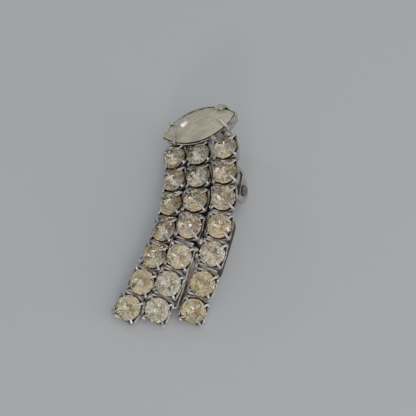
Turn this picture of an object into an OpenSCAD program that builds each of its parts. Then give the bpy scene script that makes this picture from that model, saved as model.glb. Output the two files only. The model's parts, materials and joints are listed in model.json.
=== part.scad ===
// Clip on earring: a navette stone over three curved strands of round stones, with a hinged
// clip behind. It lies face up, resting on its clip and on the lower ends of the strands.
// Millimetres. +X is to the right, +Y away from the viewer and +Z up. The strands run toward -Y.
// Each cup, the navette and the clip have a frame of their own: X across the strand,
// -Y down the strand and Z out of the face.

/* [Round stones] */
// Diameter of a round stone
stone_d = 4.0; // [3.7:0.05:4.3]
// Diameter of its table
table_d = 2.3; // [2.0:0.05:2.6]
// Height of its crown above the middle of the girdle
crown_h = 0.8; // [0.65:0.05:0.95]
// Depth of its pavilion below the middle of the girdle
pavilion_h = 1.75; // [1.5:0.05:1.95]
// Thickness of the girdle, on the navette too
girdle_h = 0.16; // [0.1:0.02:0.22]

/* [Navette stone] */
// Length from tip to tip
navette_l = 12.8; // [12:0.1:13.4]
// Width at the middle
navette_w = 5.9; // [5.4:0.1:6.2]
// Height of its crown above the middle of the girdle
navette_crown_h = 1.4; // [1.1:0.05:1.6]
// Depth of its pavilion below the middle of the girdle
navette_pavilion_h = 2.0; // [1.7:0.05:2.2]
// Size of its table as a share of the girdle
navette_table_share = 0.62; // [0.5:0.02:0.7]

/* [Cups] */
// Wall of a cup and of the navette setting
cup_wall = 0.32; // [0.26:0.02:0.4]
// Floor of a cup
cup_floor = 0.35; // [0.3:0.05:0.5]
// How far a cup's side stands out past the stone
cup_margin = 0.15; // [0.1:0.01:0.2]
// Gap between one cup and the next down a strand
cup_gap = 0.29; // [0.2:0.01:0.4]
// How much narrower each side of a cup is at its back
cup_taper = 0.4; // [0.3:0.05:0.5]
// How far the middle of a cup's rim dips below its corners
rim_dip = 0.35; // [0.25:0.05:0.45]
// Room under a stone, and between a stone and a prong
stone_room = 0.06; // [0.04:0.01:0.1]

/* [Prongs] */
// Thickness of a prong
prong_t = 0.24; // [0.18:0.02:0.3]
// Width of a cup's prong
prong_w = 0.45; // [0.35:0.05:0.7]
// How far a cup's prong reaches in over the stone
prong_reach = 0.42; // [0.3:0.02:0.55]
// Width of a narrow prong of the navette
navette_prong_w = 0.7; // [0.5:0.1:1.2]
// Width of the one broad prong of the navette
navette_tab_w = 1.7; // [1.4:0.1:2.2]
// How far a prong of the navette reaches in over the stone
navette_prong_reach = 0.75; // [0.6:0.05:0.9]

/* [Clip] */
// Width over the two ears
clip_w = 7.3; // [7:0.1:7.8]
// Thickness of the base plate and the ears
plate_t = 0.6; // [0.5:0.05:0.7]
// How far the base plate runs down the strands from the pin
plate_run = 6.0; // [5.5:0.1:7]
// How far the base plate and the ears run up the strands from the pin
plate_rise = 2.9; // [2.4:0.1:3.2]
// Distance from the backs of the cups to the pin
pin_drop = 3.1; // [2.8:0.05:3.2]
// Radius of an ear round the pin
ear_r = 2.15; // [1.9:0.05:2.3]
// Diameter of the hinge pin
pin_d = 1.0; // [0.8:0.1:1.2]
// Play round the pin in the knuckle
pin_play = 0.04; // [0.03:0.01:0.08]
// Diameter of a pin head
pin_head_d = 1.8; // [1.6:0.1:2.2]
// Thickness of a pin head
pin_head_t = 0.35; // [0.25:0.05:0.45]
// Diameter of the paddle's knuckle
knuckle_d = 2.6; // [2.4:0.1:2.8]
// Length of the paddle from the pin to its tip
paddle_l = 15.75; // [15:0.25:16.5]
// Thickness of the paddle's sheet
paddle_t = 0.5; // [0.4:0.05:0.6]
// Height of the rim round the paddle
paddle_rim_h = 1.2; // [1:0.05:1.3]
// Radius of the paddle's bow
paddle_bow_r = 60; // [50:5:90]
// Gap between the paddle and each ear
paddle_side_gap = 0.15; // [0.1:0.01:0.25]
// Width of the leaf spring
spring_w = 3.4; // [3:0.1:4]
// Thickness of the leaf spring
spring_t = 0.3; // [0.2:0.05:0.4]

/* [Hidden] */
rows = 7;
STRANDS = ["left", "middle", "right"];
LEFT = 0;
MIDDLE = 1;
RIGHT = 2;

// How each strand turns, in degrees, at the top, a third down, two thirds down and the end.
// Heading leans the strand to the left, dip takes its lower end down, and roll takes its
// left side down.
//          top    third  two thirds  end
HEADING = [[-3.5,   9.5,    22,    32],
           [-2.5,   8.5,    21,    26],
           [   0,   5.5,    17,    22]];
DIP =     [[ -12,  -1.5,    11,    23],
           [-10.5,   -2,  16.3,  30.6],
           [  -5,   6.5,  18.4,  35.1]];
ROLL =    [[28.5,    29,  15.5,    -2],
           [24.5,    17,     6,   -10],
           [22.5,  13.5,     5,    -6]];
// Where the top cup of each strand sits from the middle one, in shares of the pitch
//        across   up   out
START = [[-0.93,  0.15, 0.05],
         [ 0,     0,    0],
         [ 1.07, -0.15, 0.07]];
// A wider gap in a strand: strand, row below the gap, and its extra length as a share of the pitch
WIDE_GAPS = [[MIDDLE, 5, 0.11], [RIGHT, 6, 0.08]];
// The navette and the clip: heading, dip and roll, and the place in shares of the pitch
NAVETTE_TURN = [-8, -4, 20];
NAVETTE_PLACE = [0.16, 1.14, 0.205];
CLIP_TURN = [10, 0, 22];
CLIP_PLACE = [0, -0.05, -0.03];
CLIP_ROW = 2;

// Facets round a stone, and points along each side of the navette
stone_facets = 8;
navette_steps = 8;

cup_half = stone_d / 2 + cup_margin;
foot_half = cup_half - cup_taper;
cup_chamfer = 0.26 * cup_half;
cup_rim_z = -girdle_h / 2;
culet_room = 2 * stone_room;
cup_h = pavilion_h + culet_room + cup_floor;
pitch = 2 * cup_half + cup_gap;
crown_slope = (crown_h - girdle_h / 2) / ((stone_d - table_d) / 2);
// A prong stands on the chamfered corner of its cup
prong_seat_r = (2 * cup_half - cup_chamfer) / sqrt(2);
prong_post_in = prong_seat_r - stone_d / 2 - 0.8 * prong_t;
prong_depth = 0.45 * pavilion_h;
link_w = 0.35 * stone_d;
link_t = 0.6 * cup_wall + cup_floor;
link_lap = 0.5 * cup_gap;

navette_gap = 2 * stone_room;
navette_h = navette_pavilion_h + culet_room + cup_floor;
navette_taper = 1.8 * cup_wall;
navette_post_in = navette_gap + 0.1 * cup_wall;
navette_prong_at = 0.7;

// The tie wires, the seam strip and the solder that hold the strands together
tie_d = 0.2 * stone_d;
tie_rows = [1, 4, 7];
solder_d = 0.5 * stone_d;
solder_t = 0.35;
seam_t = 0.075 * stone_d;
// Where the seam strip runs: row, and place from the middle strand to the right one
SEAM = [[5.05, 0.42], [5.6, 0.43], [6.1, 0.49], [6.55, 0.52], [7, 0.53]];
// Drops of solder between the middle and right strands: row, and diameter in shares of the stone's
DROPS = [[4.5, 0.46], [5, 0.36]];
// Drops between the top cups and the navette: strand, place in the cup's frame, and diameter,
// in shares of the stone's
TOP_DROPS = [
    [LEFT, [-0.44, 0.5, -0.14], 0.36],
    [LEFT, [-0.4, 0.79, -0.16], 0.4],
    [MIDDLE, [-0.38, 0.62, -0.12], 0.3],
    [RIGHT, [-0.52, 0.62, -0.13], 0.36],
    [RIGHT, [0.08, 0.7, -0.2], 0.4]
];

paddle_w = clip_w - 2 * plate_t - 2 * paddle_side_gap;
paddle_rim_t = paddle_t;
// Half widths of the paddle's neck, body and tip in shares of the knuckle's length, and how far
// down the paddle its body is widest
neck_share = 0.275;
wide_share = 0.45;
tip_share = 0.31;
wide_at = 0.387;
bow_low_share = 0.55;
bow_y = -bow_low_share * paddle_l;
bow_drop = pow(bow_y, 2) / (2 * paddle_bow_r);
bow_z = paddle_bow_r - knuckle_d / 2 - bow_drop;
spring_gap = 0.03;
spring_nose_r = 0.55 * ear_r;
ear_play = 0.01;
// The slot through an ear, between its two legs, under the base plate and over the pin's head
ear_leg = 0.9 * plate_t;
slot_low = pin_drop - pin_head_d / 2 - 0.4 * plate_t;

// Turning and placing
function turn_x(a) = [[1, 0, 0], [0, cos(a), -sin(a)], [0, sin(a), cos(a)]];
function turn_y(a) = [[cos(a), 0, sin(a)], [0, 1, 0], [-sin(a), 0, cos(a)]];
function turn_z(a) = [[cos(a), -sin(a), 0], [sin(a), cos(a), 0], [0, 0, 1]];
// v holds heading, dip and roll
function turned(v) = turn_z(-v[0]) * turn_x(v[1]) * turn_y(-v[2]);

// The smooth curve through four values at even steps, at share u of its length
function through_four(k, u) =
    k[0] * (3 * u - 1) * (3 * u - 2) * (u - 1) / -2
    + k[1] * 9 * u * (3 * u - 2) * (u - 1) / 2
    + k[2] * 9 * u * (3 * u - 1) * (u - 1) / -2
    + k[3] * u * (3 * u - 1) * (3 * u - 2) / 2;
function row_share(r) = (r - 1) / (rows - 1);
function cup_turn(s, r) = [
    through_four(HEADING[s], row_share(r)),
    through_four(DIP[s], row_share(r)),
    through_four(ROLL[s], row_share(r))
];
function extra_gap(s, r) =
    let (found = [for (g = WIDE_GAPS) if (g[0] == s && g[1] == r) g[2]])
    len(found) > 0 ? found[0] : 0;
function step_length(s, r) = pitch * (1 + extra_gap(s, r));
function down_strand(s, r) = -turned(cup_turn(s, r)) * [0, 1, 0];
function cup_place(s, r) = r == 1
    ? turned(cup_turn(MIDDLE, 1)) * START[s] * pitch
    : cup_place(s, r - 1) + step_length(s, r) * (down_strand(s, r - 1) + down_strand(s, r)) / 2;
CUPS = [for (s = [LEFT:RIGHT]) [for (r = [1:rows]) cup_place(s, r)]];
function cup_spot(s, r, q) = CUPS[s][r - 1] + turned(cup_turn(s, r)) * q;

navette_origin = turned(cup_turn(MIDDLE, 1)) * NAVETTE_PLACE * pitch;
function navette_spot(q) = navette_origin + turned(NAVETTE_TURN) * q;
clip_origin = (CUPS[MIDDLE][CLIP_ROW - 1] + CUPS[RIGHT][CLIP_ROW - 1]) / 2
    + turned(CLIP_TURN) * (CLIP_PLACE * pitch - [0, 0, cup_h]);
function clip_spot(q) = clip_origin + turned(CLIP_TURN) * q;

// The outline of the navette, half length a and half width b, as two arcs
function boat(a, b, z) =
    let (
        arc_r = (a * a + b * b) / (2 * b),
        arc_half = asin(a / arc_r),
        side = [for (i = [0:navette_steps - 1]) arc_half * (1 - 2 * i / navette_steps)]
    )
    concat(
        [for (t = side) [arc_r * sin(t), arc_r * cos(t) - arc_r + b, z]],
        [for (t = side) [-arc_r * sin(t), arc_r - b - arc_r * cos(t), z]]
    );

// The ring of twelve points round a cup: each side's two ends and its dipped middle
function cup_ring(half, z_end, half_mid, z_mid) =
    let (end = half - cup_chamfer)
    [for (k = [0:3]) for (p = [[half, -end, z_end], [half_mid, 0, z_mid], [half, end, z_end]])
        turn_z(90 * k) * p];

// The part's outermost points, which set where it rests
reach_points = concat(
    [for (s = [LEFT:RIGHT]) for (r = [1:rows])
        for (q = cup_ring(foot_half, -cup_h, foot_half, -cup_h)) cup_spot(s, r, q)],
    [for (s = [LEFT:RIGHT]) for (r = [1:rows]) for (a = [45:90:315])
        for (side = [-1, 1])
            cup_spot(s, r, turn_z(a) * [stone_d / 2 + prong_post_in + prong_t, side * prong_w / 2, 0])],
    [for (q = boat(
        navette_l / 2 + navette_gap + cup_wall, navette_w / 2 + navette_gap + cup_wall, cup_rim_z))
        navette_spot(q)],
    [for (side = [-1, 1]) for (a = [-180:5:0])
        clip_spot([side * clip_w / 2, ear_r * cos(a), ear_r * sin(a) - pin_drop])],
    [for (side = [-1, 1]) for (a = [0:15:345])
        clip_spot([
            side * (clip_w / 2 + pin_head_t),
            pin_head_d / 2 * cos(a),
            pin_head_d / 2 * sin(a) - pin_drop
        ])]
);
function lowest(i) = min([for (p = reach_points) p[i]]);
function highest(i) = max([for (p = reach_points) p[i]]);
rest_shift = [-(lowest(0) + highest(0)) / 2, -(lowest(1) + highest(1)) / 2, -lowest(2)];

module facing(v) {
    rotate([0, 0, -v[0]]) rotate([v[1], 0, 0]) rotate([0, -v[2], 0]) children();
}

module at_cup(s, r) {
    translate(rest_shift + CUPS[s][r - 1]) facing(cup_turn(s, r)) children();
}

module at_navette() {
    translate(rest_shift + navette_origin) facing(NAVETTE_TURN) children();
}

module at_clip() {
    translate(rest_shift + clip_origin) facing(CLIP_TURN) children();
}

// Frame of the hinge: X along the pin
module at_pin() {
    at_clip() translate([0, 0, -pin_drop]) children();
}

module along_x(length, d) {
    rotate([0, 90, 0]) cylinder(h = length, d = d, center = true, $fn = 48);
}

function total(v, i = 0) = i == len(v) - 1 ? v[i] : v[i] + total(v, i + 1);

// A closed solid through rings of the same number of points, with a fan of faces at both ends
module ring_stack(rings) {
    n = len(rings[0]);
    last = len(rings) - 1;
    first_hub = n * len(rings);
    last_hub = first_hub + 1;
    points = concat(
        [for (ring = rings) for (p = ring) p],
        [total(rings[0]) / n, total(rings[last]) / n]
    );
    first_cap = [for (i = [0:n - 1]) [first_hub, i, (i + 1) % n]];
    last_cap = [for (i = [0:n - 1]) [last_hub, last * n + (i + 1) % n, last * n + i]];
    rising = [for (k = [0:last - 1]) for (i = [0:n - 1])
        [k * n + i, (k + 1) * n + i, (k + 1) * n + (i + 1) % n]];
    falling = [for (k = [0:last - 1]) for (i = [0:n - 1])
        [k * n + i, (k + 1) * n + (i + 1) % n, k * n + (i + 1) % n]];
    polyhedron(points = points, faces = concat(first_cap, rising, falling, last_cap));
}

// A brilliant cut: table, stars, kites and halves above the girdle, a cone of facets below
module round_stone() {
    n = stone_facets;
    step = 360 / n;
    table_r = table_d / 2;
    girdle_r = stone_d / 2;
    star_r = 0.55 * table_r + 0.45 * girdle_r;
    star_z = girdle_h / 2 + (girdle_r - star_r * cos(step / 2)) * crown_slope;
    points = concat(
        [for (i = [0:n - 1]) [table_r * cos(i * step), table_r * sin(i * step), crown_h]],
        [for (i = [0:n - 1]) [star_r * cos((i + 0.5) * step), star_r * sin((i + 0.5) * step), star_z]],
        [for (i = [0:2 * n - 1]) [girdle_r * cos(i * step / 2), girdle_r * sin(i * step / 2), girdle_h / 2]],
        [for (i = [0:2 * n - 1]) [girdle_r * cos(i * step / 2), girdle_r * sin(i * step / 2), -girdle_h / 2]],
        [[0, 0, -pavilion_h]]
    );
    star = n;
    upper = 2 * n;
    lower = 4 * n;
    culet = 6 * n;
    faces = concat(
        [[for (i = [n - 1:-1:0]) i]],
        [for (i = [0:n - 1]) [i, (i + 1) % n, star + i]],
        [for (i = [0:n - 1]) [i, star + i, upper + 2 * i]],
        [for (i = [0:n - 1]) [i, upper + 2 * i, star + (i + n - 1) % n]],
        [for (i = [0:n - 1]) [star + i, upper + 2 * i + 1, upper + 2 * i]],
        [for (i = [0:n - 1]) [star + i, upper + (2 * i + 2) % (2 * n), upper + 2 * i + 1]],
        [for (i = [0:2 * n - 1])
            [upper + i, upper + (i + 1) % (2 * n), lower + (i + 1) % (2 * n), lower + i]],
        [for (i = [0:2 * n - 1]) [lower + i, lower + (i + 1) % (2 * n), culet]]
    );
    polyhedron(points = points, faces = faces);
}

module navette_stone() {
    a = navette_l / 2;
    b = navette_w / 2;
    keel_share = 0.15;
    color([0.82, 0.83, 0.74])
        at_navette() ring_stack([
            boat(a * keel_share, b * keel_share, -navette_pavilion_h),
            boat(a, b, -girdle_h / 2),
            boat(a, b, girdle_h / 2),
            boat(a * navette_table_share, b * navette_table_share, navette_crown_h)
        ]);
}

module strand_stone(s, r) {
    color([0.74, 0.70, 0.56]) at_cup(s, r) round_stone();
}

// A prong with the stone's edge at x = 0: a post outside it and a finger bent in over it
module prong(post_in, reach, width, slope, depth) {
    tip_z = girdle_h / 2 + slope * reach + stone_room;
    translate([0, width / 2, 0]) rotate([90, 0, 0]) linear_extrude(height = width)
        polygon([
            [post_in, -depth],
            [post_in + prong_t, -depth],
            [post_in + prong_t, girdle_h / 2],
            [post_in, tip_z * 0.75],
            [-reach, tip_z + prong_t * 0.8],
            [-reach, tip_z],
            [post_in, girdle_h / 4]
        ]);
}

module cup() {
    mid_drop = rim_dip * cup_taper / cup_h;
    inner_foot = foot_half - cup_wall;
    inner_top = cup_half - cup_wall;
    ring_stack([
        cup_ring(foot_half, -cup_h, foot_half, -cup_h),
        cup_ring(cup_half, cup_rim_z, cup_half - mid_drop, cup_rim_z - rim_dip),
        cup_ring(inner_top, cup_rim_z, inner_top - mid_drop, cup_rim_z - rim_dip),
        cup_ring(inner_foot, -cup_h + cup_floor, inner_foot, -cup_h + cup_floor)
    ]);
    for (a = [45:90:315])
        rotate([0, 0, a]) translate([stone_d / 2, 0, 0])
            prong(prong_post_in, prong_reach, prong_w, crown_slope, prong_depth);
}

// Half of the link to the next cup, up or down the strand
module half_link(length, side) {
    start = foot_half - 0.5 * cup_wall;
    run = length - start;
    translate([-link_w / 2, side > 0 ? start : -length, -cup_h]) cube([link_w, run, link_t]);
}

module strand_metal(s) {
    for (r = [1:rows])
        at_cup(s, r) {
            cup();
            if (r > 1) half_link(step_length(s, r) / 2 + link_lap, 1);
            if (r < rows) half_link(step_length(s, r + 1) / 2 + link_lap, -1);
        }
}

// An eight-sided wire from point p to point q
module wire(p, q, d) {
    v = q - p;
    length = norm(v);
    translate(rest_shift + p) rotate([0, acos(v[2] / length), atan2(v[1], v[0])])
        cylinder(h = length, d = d, $fn = 8);
}

function back_of(s, r) = cup_spot(s, r, [0, 0, -cup_h - 0.12 * tie_d]);

// A spot between the middle and right strands at row r, which may lie between two cups: share u
// of the way across, at height z from their girdles
function seam_at_row(r, u, z) = (1 - u) * cup_spot(MIDDLE, r, [0, 0, z]) + u * cup_spot(RIGHT, r, [0, 0, z]);
function seam_spot(r, u, z) =
    let (low = min(floor(r), rows - 1), share = r - low)
    (1 - share) * seam_at_row(low, u, z) + share * seam_at_row(low + 1, u, z);

// The wires that tie the strands together behind
module strand_ties() {
    for (r = tie_rows) {
        wire(back_of(LEFT, r), back_of(MIDDLE, r), tie_d);
        wire(back_of(MIDDLE, r), back_of(RIGHT, r), tie_d);
    }
}

// The strip on edge down the seam between the middle and right strands: it starts in a drop of
// solder and ends on the lowest tie
module seam_strip() {
    low_z = -cup_h + 0.2 * tie_d;
    top_z = -0.05 * cup_h;
    translate(rest_shift) ring_stack([for (spot = SEAM)
        let (
            low = seam_spot(spot[0], spot[1], low_z),
            top = seam_spot(spot[0], spot[1], top_z),
            right = seam_spot(spot[0], 1, low_z) - low,
            side = right / norm(right) * seam_t / 2
        )
        [low - side, low + side, top + side, top - side]]);
}

// The solder that runs along the strip's foot and onto the walls of the right strand's cups
module seam_solder() {
    low_z = -cup_h + 0.2 * tie_d;
    top_z = -0.5 * cup_h;
    low_half = foot_half - 0.5 * cup_wall;
    top_half = (foot_half + cup_half) / 2 - 0.5 * cup_wall;
    translate(rest_shift) ring_stack([for (spot = SEAM)
        let (
            low = seam_spot(spot[0], spot[1], low_z),
            top = seam_spot(spot[0], spot[1], top_z),
            low_right = seam_spot(spot[0], 1, low_z),
            top_right = seam_spot(spot[0], 1, top_z)
        )
        [
            low,
            low_right - (low_right - low) / norm(low_right - low) * low_half,
            top_right - (top_right - top) / norm(top_right - top) * top_half,
            top
        ]]);
}

module solder_drops() {
    for (drop = DROPS)
        translate(rest_shift + seam_spot(drop[0], 0.5, -0.4 * cup_h)) sphere(d = drop[1] * stone_d, $fn = 8);
    for (drop = TOP_DROPS)
        at_cup(drop[0], 1) translate(drop[1] * stone_d) sphere(d = drop[2] * stone_d, $fn = 8);
}

// Drops of solder behind the cups that the base plate is soldered to
module solder_feet() {
    for (s = [MIDDLE, RIGHT])
        for (r = [CLIP_ROW, CLIP_ROW + 1])
            at_cup(s, r) translate([0, 0, -cup_h - solder_t])
                cylinder(h = solder_t + 0.5 * cup_floor, d = solder_d, $fn = 8);
}

module navette_setting() {
    a = navette_l / 2 + navette_gap;
    b = navette_w / 2 + navette_gap;
    at_navette() {
        ring_stack([
            boat(a + cup_wall - navette_taper, b + cup_wall - navette_taper, -navette_h),
            boat(a + cup_wall, b + cup_wall, cup_rim_z),
            boat(a, b, cup_rim_z),
            boat(a - navette_taper, b - navette_taper, -navette_h + cup_floor)
        ]);
        navette_prong(1, 1, navette_tab_w);
        navette_prong(-1, 1, navette_prong_w);
        navette_prong(1, -1, navette_prong_w);
        navette_prong(-1, -1, navette_prong_w);
    }
}

// A prong on the right or left (side_x) of the upper or lower (side_y) edge of the navette
module navette_prong(side_x, side_y, width) {
    a = navette_l / 2;
    b = navette_w / 2;
    arc_r = (a * a + b * b) / (2 * b);
    t = asin(navette_prong_at * a / arc_r);
    edge_y = arc_r * cos(t) - arc_r + b;
    run_to_table = (1 - navette_table_share) * (navette_prong_at * a * sin(t) + edge_y * cos(t));
    slope = (navette_crown_h - girdle_h / 2) / run_to_table;
    translate([side_x * navette_prong_at * a, side_y * edge_y, 0])
        rotate([0, 0, atan2(side_y * cos(t), side_x * sin(t))])
            prong(navette_post_in, navette_prong_reach, width, slope, 0.5 * navette_h);
}

// Stems from the navette setting down to the top cup of each strand
module navette_stems() {
    for (s = [LEFT:RIGHT]) {
        cup_end = cup_spot(s, 1, [0, 0.5 * foot_half + 0.5 * cup_half, -0.6 * cup_h]);
        along = (s - MIDDLE) * 0.3 * navette_l;
        wire(cup_end, navette_spot([along, -0.2 * navette_w, -navette_h + 0.4 * cup_floor]), tie_d);
    }
}

module ear(side) {
    translate([side * (clip_w - plate_t) / 2, 0, 0]) rotate([0, 90, 0])
        difference() {
            union() {
                translate([0, -ear_r, -plate_t / 2]) cube([pin_drop, ear_r + plate_rise, plate_t]);
                translate([pin_drop, 0, 0]) cylinder(h = plate_t, r = ear_r, center = true, $fn = 64);
            }
            translate([pin_drop, 0, 0])
                cylinder(h = 2 * plate_t, d = pin_d + 2 * ear_play, center = true, $fn = 48);
            translate([plate_t, ear_leg - ear_r, -plate_t])
                cube([slot_low - plate_t, ear_r + plate_rise - 2 * ear_leg, 2 * plate_t]);
        }
}

module clip_base() {
    at_clip() {
        translate([-clip_w / 2, -plate_run, -plate_t]) cube([clip_w, plate_run + plate_rise, plate_t]);
        ear(-1);
        ear(1);
    }
}

module setting_frame() {
    color("silver") {
        for (s = [LEFT:RIGHT]) strand_metal(s);
        strand_ties();
        seam_strip();
        seam_solder();
        solder_drops();
        solder_feet();
        navette_setting();
        navette_stems();
        clip_base();
    }
}

// The paddle's outline seen from the face, drawn in by some inset: a neck from some height, a
// wide round body and a narrower round tip
module tongue(inset, top_y) {
    neck = neck_share * paddle_w - inset;
    wide_r = wide_share * paddle_w - inset;
    wide_y = -wide_at * paddle_l;
    tip_r = tip_share * paddle_w - inset;
    tip_y = -paddle_l + tip_share * paddle_w;
    lean = asin((wide_r - tip_r) / (wide_y - tip_y));
    translate([-neck, wide_y]) square([2 * neck, top_y - wide_y]);
    translate([0, wide_y]) circle(r = wide_r, $fn = 64);
    translate([0, tip_y]) circle(r = tip_r, $fn = 64);
    polygon([
        [wide_r * cos(lean), wide_y - wide_r * sin(lean)],
        [tip_r * cos(lean), tip_y - tip_r * sin(lean)],
        [-tip_r * cos(lean), tip_y - tip_r * sin(lean)],
        [-wide_r * cos(lean), wide_y - wide_r * sin(lean)]
    ]);
}

module bow_drum(r) {
    translate([0, bow_y, bow_z]) rotate([0, 90, 0])
        cylinder(h = 2 * paddle_w, r = r, center = true, $fn = 256);
}

module clip_paddle() {
    tall = 4 * knuckle_d;
    color("lightgray") at_pin() difference() {
        union() {
            along_x(paddle_w, knuckle_d);
            difference() {
                intersection() {
                    translate([0, 0, -tall / 2]) linear_extrude(height = tall)
                        tongue(0, 0);
                    difference() {
                        bow_drum(paddle_bow_r);
                        bow_drum(paddle_bow_r - paddle_rim_h);
                    }
                }
                intersection() {
                    translate([0, 0, -tall / 2]) linear_extrude(height = tall)
                        tongue(paddle_rim_t, -knuckle_d / 2);
                    bow_drum(paddle_bow_r - paddle_t);
                }
            }
        }
        along_x(2 * paddle_w, pin_d + 2 * pin_play);
    }
}

module hinge_pin() {
    color("gray") at_pin() {
        along_x(clip_w + pin_head_t, pin_d);
        for (side = [-1, 1])
            translate([side * (clip_w + pin_head_t) / 2, 0, 0]) along_x(pin_head_t, pin_head_d);
    }
}

// A leaf that lies along the base plate and bends down onto the knuckle
module clip_spring() {
    top_z = pin_drop - plate_t - spring_gap;
    nose_z = knuckle_d / 2 + spring_gap;
    rise_y = -knuckle_d;
    tail_y = -plate_run + plate_t;
    color("darkgray") at_pin() translate([-spring_w / 2, 0, 0]) rotate([90, 0, 90])
        linear_extrude(height = spring_w)
            polygon([
                [tail_y, top_z - spring_t],
                [rise_y, top_z - spring_t],
                [-spring_nose_r, nose_z],
                [spring_nose_r, nose_z],
                [spring_nose_r, nose_z + spring_t],
                [-spring_nose_r, nose_z + spring_t],
                [rise_y, top_z],
                [tail_y, top_z]
            ]);
}

setting_frame();
navette_stone();
clip_paddle();
hinge_pin();
clip_spring();
for (s = [LEFT:RIGHT]) for (r = [1:rows])
    strand_stone(s, r);
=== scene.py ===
"""Clip on earring: foiled crystals in four-prong cups under a boat-shaped stone, and its clip.

Pieces are shaped in millimetres round their own origin, then set in metres at the seat that the
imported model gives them. X runs across a strand, Y up it and Z out of the face.
"""

from __future__ import annotations

import json
import logging
import math
from contextlib import contextmanager
from dataclasses import dataclass, field
from enum import Enum
from typing import Any, Callable, Iterator, Sequence

import bmesh
import bpy
from mathutils import Matrix, Quaternion, Vector


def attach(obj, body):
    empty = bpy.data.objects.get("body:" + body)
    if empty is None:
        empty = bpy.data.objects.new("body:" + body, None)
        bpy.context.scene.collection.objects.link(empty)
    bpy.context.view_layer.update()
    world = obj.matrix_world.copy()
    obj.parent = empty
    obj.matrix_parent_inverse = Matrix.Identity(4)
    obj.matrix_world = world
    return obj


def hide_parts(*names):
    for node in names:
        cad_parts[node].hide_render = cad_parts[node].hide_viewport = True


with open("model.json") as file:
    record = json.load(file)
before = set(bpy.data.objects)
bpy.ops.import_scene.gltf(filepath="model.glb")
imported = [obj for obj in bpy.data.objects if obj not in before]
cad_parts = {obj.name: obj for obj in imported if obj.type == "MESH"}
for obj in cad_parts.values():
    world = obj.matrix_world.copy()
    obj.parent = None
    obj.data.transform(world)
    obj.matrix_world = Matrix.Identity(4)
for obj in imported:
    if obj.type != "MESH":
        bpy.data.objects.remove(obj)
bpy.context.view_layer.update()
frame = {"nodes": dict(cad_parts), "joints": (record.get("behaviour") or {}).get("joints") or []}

LOG = logging.getLogger("earring")
MM = 0.001
ROWS = 7
EARRING = "earring"
PADDLE = "paddle"
SETTING_NODE = "setting_frame"

# The least cosine at which a face or an edge counts as looking one way, and as lying level
FACING = 0.9
LEVEL = 0.99
# How near points have to be to count as one, in the units of the piece: when a plane cuts it,
# when doubled points are merged, and when two spun arcs meet
CUT_NEAR = 1e-5
MERGE_NEAR = 1e-4
ARCS_NEAR = 1e-3
# The room between the glass and a claw, and under the glass in its cup, in millimetres
CLAW_LIFT = 0.06
BACK_ROOM = 0.12

Pair = tuple[float, float]
Point = tuple[float, float, float]
Test = Callable[[Vector, Vector], bool]


class Strand(Enum):
    """The three strands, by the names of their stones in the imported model."""

    LEFT = "left"
    MIDDLE = "middle"
    RIGHT = "right"


class Part(Enum):
    """The kind of mesh element that a selection works on."""

    VERT = "VERT"
    EDGE = "EDGE"
    FACE = "FACE"


# Hand tools for shaping a mesh


def clear_selection() -> None:
    """Leave edit mode and deselect every object."""
    if bpy.context.object and bpy.context.object.mode != "OBJECT":
        bpy.ops.object.mode_set(mode="OBJECT")
    bpy.ops.object.select_all(action="DESELECT")


def take(piece: bpy.types.Object) -> None:
    """Select one object alone and make it active.

    Args:
        piece: The object to take up.
    """
    clear_selection()
    piece.select_set(True)
    bpy.context.view_layer.objects.active = piece


@contextmanager
def editing(piece: bpy.types.Object) -> Iterator[None]:
    """Work on a piece in edit mode, with all of it selected at first.

    Args:
        piece: The object to edit.
    """
    take(piece)
    bpy.ops.object.mode_set(mode="EDIT")
    bpy.ops.mesh.select_mode(type="VERT")
    bpy.ops.mesh.select_all(action="SELECT")
    yield
    bpy.ops.object.mode_set(mode="OBJECT")


def pick(part: Part, test: Test) -> None:
    """Select, in edit mode, only the elements that a test accepts.

    Args:
        part: Which kind of element to look at.
        test: Gets an element's middle and its normal, or an edge's direction.
    """
    bpy.ops.mesh.select_mode(type=part.value)
    bpy.ops.mesh.select_all(action="DESELECT")
    data = bpy.context.edit_object.data
    mesh = bmesh.from_edit_mesh(data)
    if part is Part.FACE:
        mesh.normal_update()
        items = [(f, f.calc_center_median(), f.normal) for f in mesh.faces]
    elif part is Part.EDGE:
        items = [
            (e, (e.verts[0].co + e.verts[1].co) / 2, (e.verts[1].co - e.verts[0].co).normalized())
            for e in mesh.edges
        ]
    else:
        items = [(v, v.co.copy(), v.normal) for v in mesh.verts]
    for item, middle, direction in items:
        if test(middle, direction):
            item.select_set(True)
    mesh.select_flush_mode()
    bmesh.update_edit_mesh(data)


def looks_up(middle: Vector, normal: Vector) -> bool:
    """Whether a face looks up."""
    return normal.z > FACING


def looks_down(middle: Vector, normal: Vector) -> bool:
    """Whether a face looks down."""
    return normal.z < -FACING


def stands(middle: Vector, direction: Vector) -> bool:
    """Whether an edge stands upright."""
    return abs(direction.z) > FACING


def lies_on_top(middle: Vector, normal: Vector) -> bool:
    """Whether a face lies nearly level and looks up."""
    return normal.z > LEVEL


def move(x: float = 0, y: float = 0, z: float = 0) -> None:
    """Move what is selected in edit mode."""
    bpy.ops.transform.translate(value=(x, y, z))


def resize(x: float, y: float, z: float = 1, about: Point = (0, 0, 0)) -> None:
    """Scale what is selected in edit mode about a point."""
    bpy.ops.transform.resize(value=(x, y, z), center_override=about)


def extrude(x: float = 0, y: float = 0, z: float = 0) -> None:
    """Extrude what is selected in edit mode and move it."""
    bpy.ops.mesh.extrude_region_move(TRANSFORM_OT_translate={"value": (x, y, z)})


def score(middle: Point, normal: Point) -> None:
    """Cut a line of edges round the whole piece where a plane meets it."""
    bpy.ops.mesh.select_all(action="SELECT")
    bpy.ops.mesh.bisect(plane_co=middle, plane_no=normal, threshold=CUT_NEAR)


def fill() -> None:
    """Fill the whole outline in edit mode with one face."""
    bpy.ops.mesh.select_all(action="SELECT")
    bpy.ops.mesh.edge_face_add()


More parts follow.
